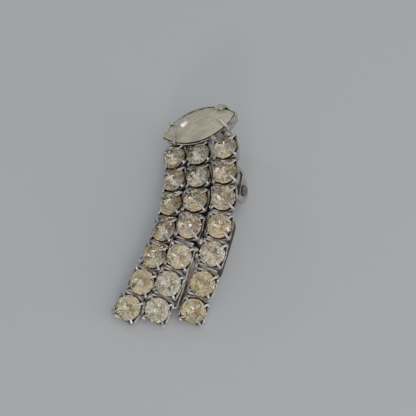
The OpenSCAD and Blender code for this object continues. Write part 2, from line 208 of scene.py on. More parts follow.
def grind(a: Vector, b: Vector, c: Vector) -> None:
    """Grind one flat facet on a solid that holds its own origin.

    Args:
        a: A first point of the facet's plane.
        b: A second point.
        c: A third point.
    """
    normal = (b - a).cross(c - a).normalized()
    if normal.dot(a) < 0:
        normal.negate()
    bpy.ops.mesh.select_all(action="SELECT")
    bpy.ops.mesh.bisect(
        plane_co=a, plane_no=normal, use_fill=True, clear_outer=True, threshold=CUT_NEAR
    )


def close_up(merge: float = MERGE_NEAR) -> None:
    """Merge doubled points of the piece in edit mode and turn its faces outwards.

    Args:
        merge: How near two points have to be, in the piece's own units.
    """
    bpy.ops.mesh.select_all(action="SELECT")
    bpy.ops.mesh.remove_doubles(threshold=merge)
    bpy.ops.mesh.normals_make_consistent(inside=False)


def apply_modifier(piece: bpy.types.Object, kind: str, **settings: Any) -> None:
    """Add a modifier, set it and apply it.

    Args:
        piece: The object that gets it.
        kind: Blender's name for the modifier's type.
        settings: Its properties by name.
    """
    take(piece)
    modifier = piece.modifiers.new(kind.title(), kind)
    for name, value in settings.items():
        setattr(modifier, name, value)
    bpy.ops.object.modifier_apply(modifier=modifier.name)


def round_edges(piece: bpy.types.Object, width: float, steps: int = 2, angle: float = 30) -> None:
    """Round every edge sharper than an angle, and smooth what lies between.

    Args:
        piece: The object to finish.
        width: The width of the rounding, in its own units.
        steps: Faces across the rounding.
        angle: The least turn at an edge, in degrees, that is rounded.
    """
    apply_modifier(
        piece,
        "BEVEL",
        width=width,
        segments=steps,
        limit_method="ANGLE",
        angle_limit=math.radians(angle),
        use_clamp_overlap=True,
    )
    bpy.ops.object.shade_smooth_by_angle(angle=math.radians(angle))


def start_from(name: str, primitive: Callable[..., Any], **sizes: Any) -> bpy.types.Object:
    """Add the primitive that a piece is shaped from.

    Args:
        name: The piece's name.
        primitive: The operator that adds it.
        sizes: The operator's sizes.

    Returns:
        The new object.
    """
    clear_selection()
    primitive(**sizes)
    piece = bpy.context.object
    piece.name = name
    return piece


def block(name: str, size: Point, middle: Point = (0, 0, 0)) -> bpy.types.Object:
    """Add a block, with its size and place already in its mesh.

    Args:
        name: The piece's name.
        size: Its size along X, Y and Z.
        middle: Its middle.

    Returns:
        The block.
    """
    piece = start_from(name, bpy.ops.mesh.primitive_cube_add, size=1)
    with editing(piece):
        bpy.ops.transform.resize(value=size)
        move(*middle)
    return piece


def rod(name: str, radius: float, length: float, sides: int = 32) -> bpy.types.Object:
    """Add a rod along X, centred on the origin.

    Args:
        name: The piece's name.
        radius: Its radius.
        length: Its length.
        sides: How many sides it has.

    Returns:
        The rod.
    """
    add = bpy.ops.mesh.primitive_cylinder_add
    piece = start_from(name, add, vertices=sides, radius=radius, depth=length)
    piece.data.transform(Matrix.Rotation(math.pi / 2, 4, "Y"))
    return piece


def single_point(name: str, place: Point) -> bpy.types.Object:
    """Add a mesh of one point, the start of an outline.

    Args:
        name: The piece's name.
        place: Where the point lies.

    Returns:
        The piece.
    """
    piece = start_from(name, bpy.ops.mesh.primitive_plane_add, size=1)
    with editing(piece):
        bpy.ops.mesh.merge(type="CENTER")
        move(*place)
    return piece


def outline(name: str, points: Sequence[Pair]) -> bpy.types.Object:
    """Draw a closed outline in the XY plane, point by point, and fill it.

    Args:
        name: The piece's name.
        points: The (x, y) corners in order.

    Returns:
        The flat piece.
    """
    piece = single_point(name, (*points[0], 0))
    with editing(piece):
        for (x0, y0), (x1, y1) in zip(points, points[1:]):
            extrude(x1 - x0, y1 - y0)
        fill()
    return piece


def ribbon(
    name: str, path: Sequence[Pair], widths: Sequence[float], thick: float
) -> bpy.types.Object:
    """Bend a strip of sheet along a path in the XZ plane.

    Args:
        name: The piece's name.
        path: The (x, z) points that the middle of the sheet follows.
        widths: The strip's width along Y at each point.
        thick: The thickness of the sheet.

    Returns:
        The strip, with square edges.
    """
    piece = start_from(name, bpy.ops.mesh.primitive_plane_add, size=1)
    with editing(piece):
        for side, (x, z), width in ((-1, path[0], widths[0]), (1, path[1], widths[1])):
            pick(Part.EDGE, lambda m, d: abs(d.y) > FACING and m.x * side > 0.4 and not m.z)
            resize(1, width, 1, (0.5 * side, 0, 0))
            move(x - 0.5 * side, 0, z)
        for i in range(2, len(path)):
            (x0, z0), (x1, z1) = path[i - 1], path[i]
            extrude(x1 - x0, 0, z1 - z0)
            resize(1, widths[i] / widths[i - 1], 1, (x1, 0, z1))
    apply_modifier(piece, "SOLIDIFY", thickness=thick, offset=0, use_even_offset=True)
    with editing(piece):
        close_up()
    return piece


def copy_of(piece: bpy.types.Object, name: str, place: Matrix) -> bpy.types.Object:
    """Copy a piece with its own mesh and set the copy's place in that mesh.

    Args:
        piece: The modelled piece.
        name: The copy's name.
        place: The copy's place.

    Returns:
        The copy.
    """
    copy = bpy.data.objects.new(name, piece.data.copy())
    copy.data.name = name
    copy.data.transform(place)
    bpy.context.scene.collection.objects.link(copy)
    return copy


def join(name: str, pieces: Sequence[bpy.types.Object]) -> bpy.types.Object:
    """Join several pieces into one mesh.

    Args:
        name: The joined piece's name.
        pieces: What is joined.

    Returns:
        The joined piece.
    """
    clear_selection()
    for piece in pieces:
        piece.select_set(True)
    bpy.context.view_layer.objects.active = pieces[0]
    if len(pieces) > 1:
        bpy.ops.object.join()
    pieces[0].name = name
    pieces[0].data.name = name
    return pieces[0]


def discard(*pieces: bpy.types.Object) -> None:
    """Remove patterns that were only copied."""
    for piece in pieces:
        bpy.data.objects.remove(piece)


def mark(piece: bpy.types.Object, test: Callable[[bpy.types.MeshPolygon], bool]) -> None:
    """Give the faces that a test accepts the piece's second material, and the rest its first.

    Args:
        piece: The finished piece.
        test: Gets each face.
    """
    for face in piece.data.polygons:
        face.material_index = 1 if test(face) else 0


def about_z(degrees: float) -> Matrix:
    """A turn about Z."""
    return Matrix.Rotation(math.radians(degrees), 4, "Z")


def shift(x: float = 0, y: float = 0, z: float = 0) -> Matrix:
    """A move."""
    return Matrix.Translation((x, y, z))


def level_at(spot: Vector) -> Matrix:
    """The unturned place at a spot in metres of a piece that is in millimetres."""
    return Matrix.Translation(spot) @ Matrix.Scale(MM, 4)


# Where things sit


@dataclass(frozen=True)
class Seat:
    """A place on the earring: an origin in metres and three directions."""

    origin: Vector
    across: Vector
    up: Vector
    out: Vector

    def matrix(self) -> Matrix:
        """The place and turn of the seat, with millimetres made metres."""
        turn = Matrix((self.across, self.up, self.out)).transposed().to_4x4()
        return Matrix.Translation(self.origin) @ turn @ Matrix.Scale(MM, 4)

    def spot(self, x: float = 0, y: float = 0, z: float = 0) -> Vector:
        """A point of the seat, given in millimetres, in metres in the row frame."""
        return self.matrix() @ Vector((x, y, z))


# The seats of every strand's cups from the top down
Seats = dict[Strand, list[Seat]]


def points_of(node: str) -> list[Vector]:
    """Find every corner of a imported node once.

    Args:
        node: The node's name.

    Returns:
        The corners, in metres.
    """
    micron = 1e-6
    corners = [vertex.co.copy() for vertex in frame["nodes"][node].data.vertices]
    return list({tuple(round(c / micron) for c in corner): corner for corner in corners}.values())


def broadest_normal(node: str) -> Vector:
    """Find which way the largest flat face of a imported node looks.

    Args:
        node: The node's name.

    Returns:
        The face's normal.
    """
    fineness = 50
    areas: dict[tuple[int, ...], float] = {}
    normals: dict[tuple[int, ...], Vector] = {}
    for face in frame["nodes"][node].data.polygons:
        key = tuple(round(c * fineness) for c in face.normal)
        areas[key] = areas.get(key, 0) + face.area
        normals[key] = face.normal.copy()
    return normals[max(areas, key=areas.get)]


def middle_of(points: Sequence[Vector]) -> Vector:
    """The mean of some points."""
    return sum(points, Vector()) / len(points)


def girdle_middle(node: str, out: Vector) -> Vector:
    """Find the middle of a cut stone's girdle, from its points farthest off its axis.

    Args:
        node: The stone's node.
        out: The way its table looks.

    Returns:
        The middle, in metres.
    """
    points = points_of(node)
    culet = min(points, key=lambda p: p.dot(out))
    reach = [((p - culet) - out * (p - culet).dot(out)).length for p in points]
    widest = max(reach)
    return middle_of([p for p, r in zip(points, reach) if r > 0.98 * widest])


def stone_node(strand: Strand, row: int) -> str:
    """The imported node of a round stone."""
    return f"stone_{strand.value}_{row}"


def strand_seats(strand: Strand) -> list[Seat]:
    """Find the seats of a strand's cups, with the middle of each stone's girdle as origin.

    The table's corners lie every 45 degrees, so the corner nearest to the run of the strand
    gives the direction up it.

    Args:
        strand: Which strand.

    Returns:
        The seats from the top down.
    """
    nodes = [stone_node(strand, row) for row in range(1, ROWS + 1)]
    outs = [broadest_normal(node) for node in nodes]
    middles = [girdle_middle(node, out) for node, out in zip(nodes, outs)]
    seats = []
    for i, (node, out, middle) in enumerate(zip(nodes, outs, middles)):
        run = middles[max(i - 1, 0)] - middles[min(i + 1, ROWS - 1)]
        points = points_of(node)
        top = max(p.dot(out) for p in points)
        table = [p - middle for p in points if p.dot(out) > top - 0.01 * MM]
        rays = [ray - out * ray.dot(out) for ray in table]
        rays = [ray.normalized() for ray in rays if ray.length > 0.1 * MM]
        up = max(rays, key=lambda ray: ray.dot(run))
        seats.append(Seat(middle, up.cross(out), up, out))
    return seats


def navette_seat() -> Seat:
    """Find the seat of the boat-shaped stone.

    Returns:
        The seat, with X from the stone's left tip to its right one.
    """
    node = "navette_stone"
    out = broadest_normal(node)
    points = points_of(node)
    centre = middle_of(points)
    far = max(points, key=lambda p: (p - centre).length)
    tips = [p for p in points if (p - centre).length > 0.985 * (far - centre).length]
    right = middle_of([p for p in tips if p.x > centre.x])
    left = middle_of([p for p in tips if p.x <= centre.x])
    along = (right - left).normalized()
    across = (along - out * along.dot(out)).normalized()
    return Seat((right + left) / 2, across, out.cross(across), out)


def pin_seat() -> Seat:
    """Find the seat of the hinge.

    Returns:
        The seat, with X along the pin and Z toward the backs of the strands.
    """
    hinge = frame["joints"][0]
    across = Vector(hinge["axis"]).normalized()
    out = broadest_normal("clip_spring")
    if out.z < 0:
        out.negate()
    out = (out - across * out.dot(across)).normalized()
    return Seat(Vector(hinge["pos_m"]), across, out.cross(across), out)


# Finishes


BLACK = (0.0, 0.0, 0.0, 1.0)
WHITE = (1.0, 1.0, 1.0, 1.0)


def linear(hex_colour: str) -> tuple[float, float, float, float]:
    """Turn an sRGB hex colour into linear RGBA."""
    values = [int(hex_colour[i : i + 2], 16) / 255 for i in (1, 3, 5)]
    return (*[v / 12.92 if v <= 0.04045 else ((v + 0.055) / 1.055) ** 2.4 for v in values], 1.0)


def add_node(
    tree: bpy.types.NodeTree,
    kind: str,
    inputs: dict[str | int, Any] | None = None,
    stops: Sequence[tuple[float, Sequence[float]]] = (),
    **settings: Any,
) -> bpy.types.Node:
    """Add a node with its settings, values and links.

    Args:
        tree: The material's node tree.
        kind: The node's type.
        inputs: A value, or the socket to link from, for each input by name or number.
        stops: The places and linear colours of a ramp's two ends.
        settings: The node's properties by name.

    Returns:
        The new node.
    """
    node = tree.nodes.new(kind)
    for name, value in settings.items():
        setattr(node, name, value)
    for i, (place, colour) in enumerate(stops):
        node.color_ramp.elements[i].position = place
        node.color_ramp.elements[i].color = colour
    for name, value in (inputs or {}).items():
        if isinstance(value, bpy.types.NodeSocket):
            tree.links.new(value, node.inputs[name])
        else:
            node.inputs[name].default_value = value
    return node


def new_material(name: str) -> tuple[bpy.types.Material, bpy.types.Node, bpy.types.NodeSocket]:
    """Start a material.

    Args:
        name: The material's name.

    Returns:
        The material, its shader and the object coordinates.
    """
    material = bpy.data.materials.new(name)
    material.use_nodes = True
    shader = material.node_tree.nodes["Principled BSDF"]
    place = add_node(material.node_tree, "ShaderNodeTexCoord")
    return material, shader, place.outputs["Object"]


def per_metre(size_mm: float) -> float:
    """The scale of a pattern whose parts are some millimetres across."""
    return 1 / (size_mm * MM)


@dataclass(frozen=True)
class Finish:
    """What a surface is made of, as a material that is made once."""

    name: str

    def material(self) -> bpy.types.Material:
        """The finish's material, which the first piece that wears it has made."""
        return bpy.data.materials.get(self.name) or self.make()

    def make(self) -> bpy.types.Material:
        """Make the material, in the way of each kind of finish."""
        raise NotImplementedError(self.name)


@dataclass(frozen=True)
class OldPlate(Finish):
    """Old plating or drawn metal: bright where rubbed, dull in blotches, darker in the hollows,
    with tarnish there and, where that colour is dark, painted shade.
    """

    bright: str = "#D2CDC8"
    dull: str = "#A1978F"
    tarnish_and_shade: str = "#837367"
    # Wear shows as blotches of about the size of a claw
    blotch_mm: float = 0.7
    wear: Pair = (0.36, 0.7)
    # The real grain is under 0.02 mm, too fine to show, so it is drawn coarser
    grain_mm: float = 0.07
    grain_rise_mm: float = 0.02
    grain_strength: float = 0.12
    # The hollow colour gathers where the next surface is nearer than this: tarnish on most plate,
    # and painted shade where it is dark and reaches far, as on the clip
    hollow_mm: float = 0.7
    openness: Pair = (0.3, 0.9)
    roughness: float = 0.2
    dull_rougher: float = 0.12
    metallic: float = 0.9

    def make(self) -> bpy.types.Material:
        """Make the material.

        Returns:
            The plate.
        """
        material, shader, place = new_material(self.name)
        tree = material.node_tree
        blotch = add_node(
            tree,
            "ShaderNodeTexNoise",
            {"Vector": place, "Scale": per_metre(self.blotch_mm), "Detail": 4.0},
        ).outputs["Fac"]
        plate = add_node(
            tree,
            "ShaderNodeValToRGB",
            {"Fac": blotch},
            tuple(zip(self.wear, (linear(self.dull), linear(self.bright)))),
        )
        # Where the next surface is near, the colour turns to the hollow colour: tarnish, and
        # painted shade on the dark plates
        hollow = add_node(
            tree, "ShaderNodeAmbientOcclusion", {"Distance": self.hollow_mm * MM}, samples=8
        )
        is_open = add_node(
            tree,
            "ShaderNodeValToRGB",
            {"Fac": hollow.outputs["AO"]},
            tuple(zip(self.openness, (BLACK, WHITE))),
        )
        colour = add_node(
            tree,
            "ShaderNodeMix",
            {0: is_open.outputs["Color"], 6: linear(self.tarnish_and_shade), 7: plate.outputs["Color"]},
            data_type="RGBA",
        )
        tree.links.new(colour.outputs[2], shader.inputs["Base Color"])
        rough = add_node(
            tree,
            "ShaderNodeMapRange",
            {
                "Value": blotch,
                "To Min": self.roughness + self.dull_rougher,
                "To Max": self.roughness,
            },
        )
        tree.links.new(rough.outputs["Result"], shader.inputs["Roughness"])
        grain = add_node(
            tree, "ShaderNodeTexNoise", {"Vector": place, "Scale": per_metre(self.grain_mm)}
        )
        bump = add_node(
            tree,
            "ShaderNodeBump",
            {
                "Height": grain.outputs["Fac"],
                "Strength": self.grain_strength,
                "Distance": self.grain_rise_mm * MM,
            },
        )
        tree.links.new(bump.outputs["Normal"], shader.inputs["Normal"])
        shader.inputs["Metallic"].default_value = self.metallic
        return material


@dataclass(frozen=True)
class CutGlass(Finish):
    """Pressed and polished lead glass, over which the foil shows through every facet."""

    tint: str = "#FAF5E8"
    # A second colour that drifts through the glass, where it is cloudy
    cloud: str = ""
    haze_mm: float = 0.5
    drift: Pair = (0.4, 0.6)
    distortion: float = 0.6
    # How far the cloud is drawn out, and which way, in degrees
    streak: float = 1.0
    streak_turn: float = 33.0
    roughness: float = 0.03
    clear: float = 1.0
    ior: float = 1.55

    def make(self) -> bpy.types.Material:
        """Make the material.

        Returns:
            The glass.
        """
        material, shader, place = new_material(self.name)
        tree = material.node_tree
        drawn_out = add_node(
            tree,
            "ShaderNodeMapping",
            {
                "Vector": place,
                "Rotation": (0, 0, math.radians(self.streak_turn)),
                "Scale": (self.streak, 1, 1),
            },
            vector_type="TEXTURE",
        )
        haze = add_node(
            tree,
            "ShaderNodeTexNoise",
            {
                "Vector": drawn_out.outputs["Vector"],
                "Scale": per_metre(self.haze_mm),
                "Detail": 3.0,
                "Distortion": self.distortion,
            },
        ).outputs["Fac"]
        rough = add_node(
            tree,
            "ShaderNodeMapRange",
            {"Value": haze, "To Min": 0.5 * self.roughness, "To Max": 1.5 * self.roughness},
        )
        tree.links.new(rough.outputs["Result"], shader.inputs["Roughness"])
        shader.inputs["Base Color"].default_value = linear(self.tint)
        if self.cloud:
            cloudy = add_node(
                tree,
                "ShaderNodeValToRGB",
                {"Fac": haze},
                tuple(zip(self.drift, (linear(self.tint), linear(self.cloud)))),
            )
            tree.links.new(cloudy.outputs["Color"], shader.inputs["Base Color"])
        shader.inputs["IOR"].default_value = self.ior
        shader.inputs["Transmission Weight"].default_value = self.clear
        return material


@dataclass(frozen=True)
class AgedFoil(Finish):
    """Silver foil and lacquer on a stone's back: crazed in small flats, yellowed in patches."""

    light: str
    dark: str
    warm_glint: str = "#FFDDB0"
    cool_glint: str = "#E4F0EC"
    patch_mm: float = 1.1
    patch_share: float = 0.45
    yellowing: Pair = (0.42, 0.9)
    # The flats of the crazed foil, and how far they lean from the facet
    flat_mm: float = 0.34
    tilt: float = 0.35
    glint_share: float = 0.06
    roughness: float = 0.12
    clean_smoother: float = 0.05
    patch_rougher: float = 0.1
    metallic: float = 1.0

    def make(self) -> bpy.types.Material:
        """Make the material.

        Returns:
            The foil.
        """
        material, shader, place = new_material(self.name)
        tree = material.node_tree
        flats = add_node(
            tree, "ShaderNodeTexVoronoi", {"Vector": place, "Scale": per_metre(self.flat_mm)}
        ).outputs["Color"]
        chance = add_node(tree, "ShaderNodeSeparateColor", {"Color": flats})
        patch = add_node(
            tree,
            "ShaderNodeTexNoise",
            {"Vector": place, "Scale": per_metre(self.patch_mm), "Detail": 3.0},
        ).outputs["Fac"]
        share = add_node(
            tree,
            "ShaderNodeMath",
            {0: chance.outputs["Red"], 1: self.patch_share, 2: patch},
            operation="MULTIPLY_ADD",
        )
        foil = add_node(
            tree,
            "ShaderNodeValToRGB",
            {"Fac": share.outputs["Value"]},
            tuple(zip(self.yellowing, (linear(self.dark), linear(self.light)))),
        ).outputs["Color"]
        # Painted glints: a few flats are tinted warm orange and a few cool blue-white, standing in
        # for the coloured fire of the cut glass
        glints = (
            (self.warm_glint, "LESS_THAN", self.glint_share),
            (self.cool_glint, "GREATER_THAN", 1 - self.glint_share),
        )
        for glint, side, limit in glints:
            lit = add_node(
                tree, "ShaderNodeMath", {0: chance.outputs["Green"], 1: limit}, operation=side
            )
            foil = add_node(
                tree,
                "ShaderNodeMix",
                {0: lit.outputs["Value"], 6: foil, 7: linear(glint)},
                data_type="RGBA",
            ).outputs[2]
        tree.links.new(foil, shader.inputs["Base Color"])
        rough = add_node(
            tree,
            "ShaderNodeMapRange",
            {
                "Value": patch,
                "To Min": self.roughness + self.patch_rougher,
                "To Max": self.roughness - self.clean_smoother,
            },
        )
        tree.links.new(rough.outputs["Result"], shader.inputs["Roughness"])
        facing = add_node(tree, "ShaderNodeNewGeometry")
        lean = add_node(
            tree, "ShaderNodeVectorMath", {0: flats, 1: (0.5, 0.5, 0.5)}, operation="SUBTRACT"
        )
        turned = add_node(
            tree,
            "ShaderNodeVectorMath",
            {0: lean.outputs["Vector"], 1: (self.tilt,) * 3, 2: facing.outputs["Normal"]},
            operation="MULTIPLY_ADD",
        )
        level = add_node(
            tree, "ShaderNodeVectorMath", {0: turned.outputs["Vector"]}, operation="NORMALIZE"
        )
        tree.links.new(level.outputs["Vector"], shader.inputs["Normal"])
        shader.inputs["Metallic"].default_value = self.metallic
        return material


# Rhodium plate on cast white metal, dulled by wear: pale warm grey, brown between the cups
PLATE = OldPlate("rhodium_plated_white_metal")
# The same plate, painted lighter on the claws and the seam strip: partly rubbed bright by wear,
# partly a painted highlight; nearly white, with sharp glints on the claws
RUBBED_AND_SHEEN = OldPlate(
    "rubbed_plate_and_painted_sheen", "#E9E6E2", "#C9C4BE", tarnish_and_shade="#A09890", roughness=0.1
)
# Nickel plate on stamped brass, for the ears of the clip: bright, with painted shade, nearly black,
# in its deep hollows
CLIP_PLATE = OldPlate(
    "nickel_plated_brass", "#D2D0CB", "#ACA69E", tarnish_and_shade="#332D28", hollow_mm=1.6
)
# The same nickel painted dark brown, with a dull gleam: it keeps the paddle's tray dark, and on the
# walls of the ears' slots it is painted shade
DARK_NICKEL_AND_SHADE = OldPlate("dark_nickel_and_painted_shade", "#655D55", "#3C3630", tarnish_and_shade="#2A2521")
# Steel wire as drawn, gone dull: a soft grey gleam on the heads of the pin
DRAWN = OldPlate("drawn_steel_wire", "#9A968F", "#5E5953", roughness=0.3)
# Spring strip as rolled: an even, duller grey
ROLLED = OldPlate("rolled_spring_steel", "#94928F", "#73706C", roughness=0.35)
# Lead crystal, polished: clear and slightly warm, so that the foil sparkles through it
CRYSTAL = CutGlass("polished_lead_crystal")
# Crystal gone milky over its foil: cream and grey streaks that hide the facets behind
CLOUDED = CutGlass(
    "clouded_crystal",
    "#FFF3CE",
    "#D3D1BC",
    haze_mm=1.1,
    streak=4.0,
    roughness=0.04,
    clear=0.42,
)
# Foil behind the milky stone: pale and matt, with hardly a glint
CLOUDED_FOIL = AgedFoil(
    "clouded_aged_foil",
    "#FBF7E6",
    "#ECE6CE",
    patch_mm=2.6,
    flat_mm=1.1,
    tilt=0.1,
    glint_share=0.0,
    roughness=0.5,
    metallic=0.15,
)


# How each stone happened to be turned when it was set, in degrees
STONE_TURNS = {
    Strand.LEFT: (22, 9, 0, 12, -8, 0, 17),
    Strand.MIDDLE: (20, 15, -12, 6, 0, 22, -6),
    Strand.RIGHT: (0, 12, -9, 0, 18, -14, 5),
}


class FoilTone(Enum):
    """How far a round stone's foil has yellowed, as its light and its dark colour."""

    BROWN = ("#FAF0E0", "#CCBCA6")
    OLIVE = ("#FAF4E0", "#CCC2A8")
    GOLD = ("#FAF3DC", "#CDC0A0")
    GREY = ("#FAF7EC", "#CBC5B4")

    def foil(self) -> AgedFoil:
        """The foil of this tone."""
        return AgedFoil(f"{self.name.lower()}_aged_foil", *self.value)


TONE_LETTERS = {
    "B": FoilTone.BROWN,
    "O": FoilTone.OLIVE,
    "G": FoilTone.GOLD,
    "Y": FoilTone.GREY,
}
# The foil of each strand's stones from the top
TONES = {
    Strand.LEFT: "BBOBOGG",
    Strand.MIDDLE: "YYOBGYY",
    Strand.RIGHT: "YOBGYGG",
}


def finish_piece(
    piece: bpy.types.Object,
    finishes: Sequence[Finish],
    node: str = SETTING_NODE,
    body: str = EARRING,
) -> None:
    """Give a finished piece its materials, its body and the node it stands for.

    Args:
        piece: The piece, in place.
        finishes: Its finishes in the order of its faces' numbers.
        node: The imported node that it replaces.
        body: The body that it rides on.
    """
    for finish in finishes:
        piece.data.materials.append(finish.material())
    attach(piece, body)
    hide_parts(node)
    LOG.info("%s: %d faces on %s", piece.name, len(piece.data.polygons), body)


# Stones


def is_foiled(face: bpy.types.MeshPolygon) -> bool:
    """Whether a face of a cut stone is on its back, which is foiled."""
    return face.normal.z < -0.1


@dataclass
class RoundStone:
    """A brilliant-cut rhinestone, ground facet by facet from a round blank."""

    diameter: float = 4.0
    table: float = 2.3
    crown: float = 0.8
    pavilion: float = 1.75
    girdle: float = 0.16
    facets: int = 8
    blank_sides: int = 48
    star_share: float = 0.45
    half_share: float = 0.72

    def ring(self, radius: float, step: float, z: float) -> Vector:
        """A point at some steps of one facet round the stone."""
        angle = 2 * math.pi * step / self.facets
        return Vector((radius * math.cos(angle), radius * math.sin(angle), z))

    def build(self) -> bpy.types.Object:
        """Cut the stone: table, kites, stars and halves, then the pavilion.

        Returns:
            The stone, with glass faces in slot 0 and foiled faces in slot 1.
        """
        radius, table_r = self.diameter / 2, self.table / 2
        half_girdle = self.girdle / 2
        slope = (self.crown - half_girdle) / (radius - table_r)
        star_r = (1 - self.star_share) * table_r + self.star_share * radius
        star_z = half_girdle + (radius - star_r * math.cos(math.pi / self.facets)) * slope
        stone = start_from(
            "cut_stone",
            bpy.ops.mesh.primitive_cylinder_add,
            vertices=self.blank_sides,
            radius=radius,
            depth=self.crown + self.pavilion,
            location=(0, 0, (self.crown - self.pavilion) / 2),
        )
        bpy.ops.object.transform_apply()
        with editing(stone):
            for i in range(self.facets):
                corner = self.ring(table_r, i, self.crown)
                edge = self.ring(radius, i, half_girdle)
                beside = Vector((0, 0, 1)).cross(edge)
                grind(corner, edge, edge + beside)
                next_corner = self.ring(table_r, i + 1, self.crown)
                star = self.ring(star_r, i + 0.5, star_z)
                grind(corner, next_corner, star)
                for end in (i, i + 1):
                    grind(
                        star,
                        self.ring(radius, i + 0.5, half_girdle),
                        self.ring(radius, end, half_girdle),
                    )
            culet = Vector((0, 0, -self.pavilion))
            for i in range(self.facets):
                edge = self.ring(radius, i, -half_girdle)
                beside = Vector((0, 0, 1)).cross(edge)
                grind(culet, edge, edge + beside)
            wide = 1 / math.cos(math.pi / self.facets)
            low_z = -half_girdle - self.half_share * (self.pavilion - half_girdle)
            for i in range(self.facets):
                rib = self.ring(radius * (1 - self.half_share) * wide, i + 0.5, low_z)
                for end in (i, i + 1):
                    grind(
                        rib,
                        self.ring(radius, i + 0.5, -half_girdle),
                        self.ring(radius, end, -half_girdle),
                    )
            close_up()
        mark(stone, is_foiled)
        return stone

    def dress(self, cut: bpy.types.Object, strand: Strand, row: int, seat: Seat) -> None:
        """Set a copy of the cut stone in its cup, over foil of its own tone.

        Args:
            cut: The cut stone.
            strand: The strand that it belongs to.
            row: Its row from the top, from 1.
            seat: Its seat.
        """
        place = seat.matrix() @ about_z(STONE_TURNS[strand][row - 1])
        piece = copy_of(cut, f"crystal_{strand.value}_{row}", place)
        foil = TONE_LETTERS[TONES[strand][row - 1]].foil()
        finish_piece(piece, [CRYSTAL, foil], stone_node(strand, row))


def arc_radius(length: float, width: float) -> float:
    """The radius of each of the two arcs that make a boat shape."""
    return (length**2 + width**2) / (4 * width)


def boat_ring(length: float, width: float, z: float, steps: int) -> list[Vector]:
    """The outline of a boat shape as points from its right tip round by the far side.

    Args:
        length: From tip to tip.
        width: Across the middle.
        z: The height of the ring.
        steps: Points along each side.

    Returns:
        The points of the ring.
    """
    arc_r = arc_radius(length, width)
    half = math.asin(length / 2 / arc_r)
    turns = [half * (1 - 2 * i / steps) for i in range(steps)]
    far = [(arc_r * math.sin(t), arc_r * math.cos(t) - arc_r + width / 2) for t in turns]
    return [Vector((side * x, side * y, z)) for side in (1, -1) for x, y in far]


def boat_blank(name: str, length: float, width: float, z: float, steps: int) -> bpy.types.Object:
    """Spin the two arcs of a boat outline and fill it with one face.

    Args:
        name: The piece's name.
        length: From tip to tip.
        width: Across the middle.
        z: The height of the face.
        steps: Edges along each side.

    Returns:
        The flat piece.
    """
    arc_r = arc_radius(length, width)
    sweep = 2 * math.asin(length / 2 / arc_r)
    piece = single_point(name, (length / 2, 0, z))
    with editing(piece):
        for side in (1, -1):
            middle = (0, side * (width / 2 - arc_r), z)
            bpy.ops.mesh.spin(steps=steps, angle=-sweep, center=middle, axis=(0, 0, 1))
        bpy.ops.mesh.select_all(action="SELECT")
        bpy.ops.mesh.remove_doubles(threshold=ARCS_NEAR)
        fill()
    return piece


@dataclass
class Navette:
    """The boat-shaped stone, with a broad table and long facets that meet along a keel."""

    length: float = 12.8
    width: float = 5.9
    crown: float = 1.4
    pavilion: float = 2.0
    girdle: float = 0.16
    table_share: float = 0.62
    keel_share: float = 0.15
    facets: int = 8
    edge_steps: int = 24
    dome_r: float = 26.0
    dome_rings: int = 6

    def build(self) -> bpy.types.Object:
        """Cut the stone from a boat-shaped prism.

        Returns:
            The stone, with glass faces in slot 0 and foiled faces in slot 1.
        """
        stone = boat_blank("navette", self.length, self.width, -self.pavilion, self.edge_steps)
        tiers = (
            (self.girdle / 2, self.table_share, self.crown),
            (-self.girdle / 2, self.keel_share, -self.pavilion),
        )
        with editing(stone):
            extrude(z=self.crown + self.pavilion)
            close_up()
            for z_edge, share, z_end in tiers:
                edge = boat_ring(self.length, self.width, z_edge, self.facets)
                end = boat_ring(self.length * share, self.width * share, z_end, self.facets)
                for i in range(2 * self.facets):
                    grind(edge[i], edge[(i + 1) % len(edge)], end[i])
            close_up()
        self.dome(stone)
        mark(stone, is_foiled)
        return stone

    def dome(self, stone: bpy.types.Object) -> None:
        """Polish the table to a shallow dome, highest at its middle.

        Args:
            stone: The cut stone.
        """
        ring_w = self.table_share * self.width / 2 / (self.dome_rings + 1)
        with editing(stone):
            pick(Part.FACE, lies_on_top)
            for _ in range(self.dome_rings):
                bpy.ops.mesh.inset(thickness=ring_w)
            bpy.ops.mesh.poke()
            pick(Part.FACE, lies_on_top)
            bpy.ops.mesh.subdivide(number_cuts=3)
        for vertex in stone.data.vertices:
            if vertex.co.z > self.crown - 0.01:
                vertex.co.z -= (vertex.co.x**2 + vertex.co.y**2) / (2 * self.dome_r)
        take(stone)
        bpy.ops.object.shade_smooth_by_angle(angle=math.radians(8))

    def dress(self, seat: Seat) -> None:
        """Cut the stone, set it in its seat and foil its back.

        Args:
            seat: Its seat.
        """
        boat = self.build()
        boat.data.transform(seat.matrix())
        finish_piece(boat, [CLOUDED, CLOUDED_FOIL], "navette_stone")


# Metal


def bend_claw(
    foot: Sequence[Pair],
    over: Sequence[float],
    stone: RoundStone | Navette,
    slope: float,
    lift: float,
    sheet: Pair,
    widths: Sequence[float],
    roundness: float,
) -> bpy.types.Object:
    """Bend a claw from a strip of sheet, with the stone's edge at x = 0.

    Args:
        foot: The (x, z) points that it follows up to the stone's edge.
        over: How far in from the edge it goes on over the crown, point by point.
        stone: The stone that it holds.
        slope: The rise of the crown for each millimetre in from the edge.
        lift: How far the middle of the sheet stays over the crown.
        sheet: The strip's width and its thickness.
        widths: The share of the width at each point.
        roundness: The share of the thickness that is rounded off at the edges.

    Returns:
        The claw.
    """
    path = [*foot, *[(-x, stone.girdle / 2 + slope * x + lift) for x in over]]
    width, thick = sheet
    claw = ribbon("claw", path, [width * share for share in widths], thick)
    round_edges(claw, roundness * thick, 3)
    return claw


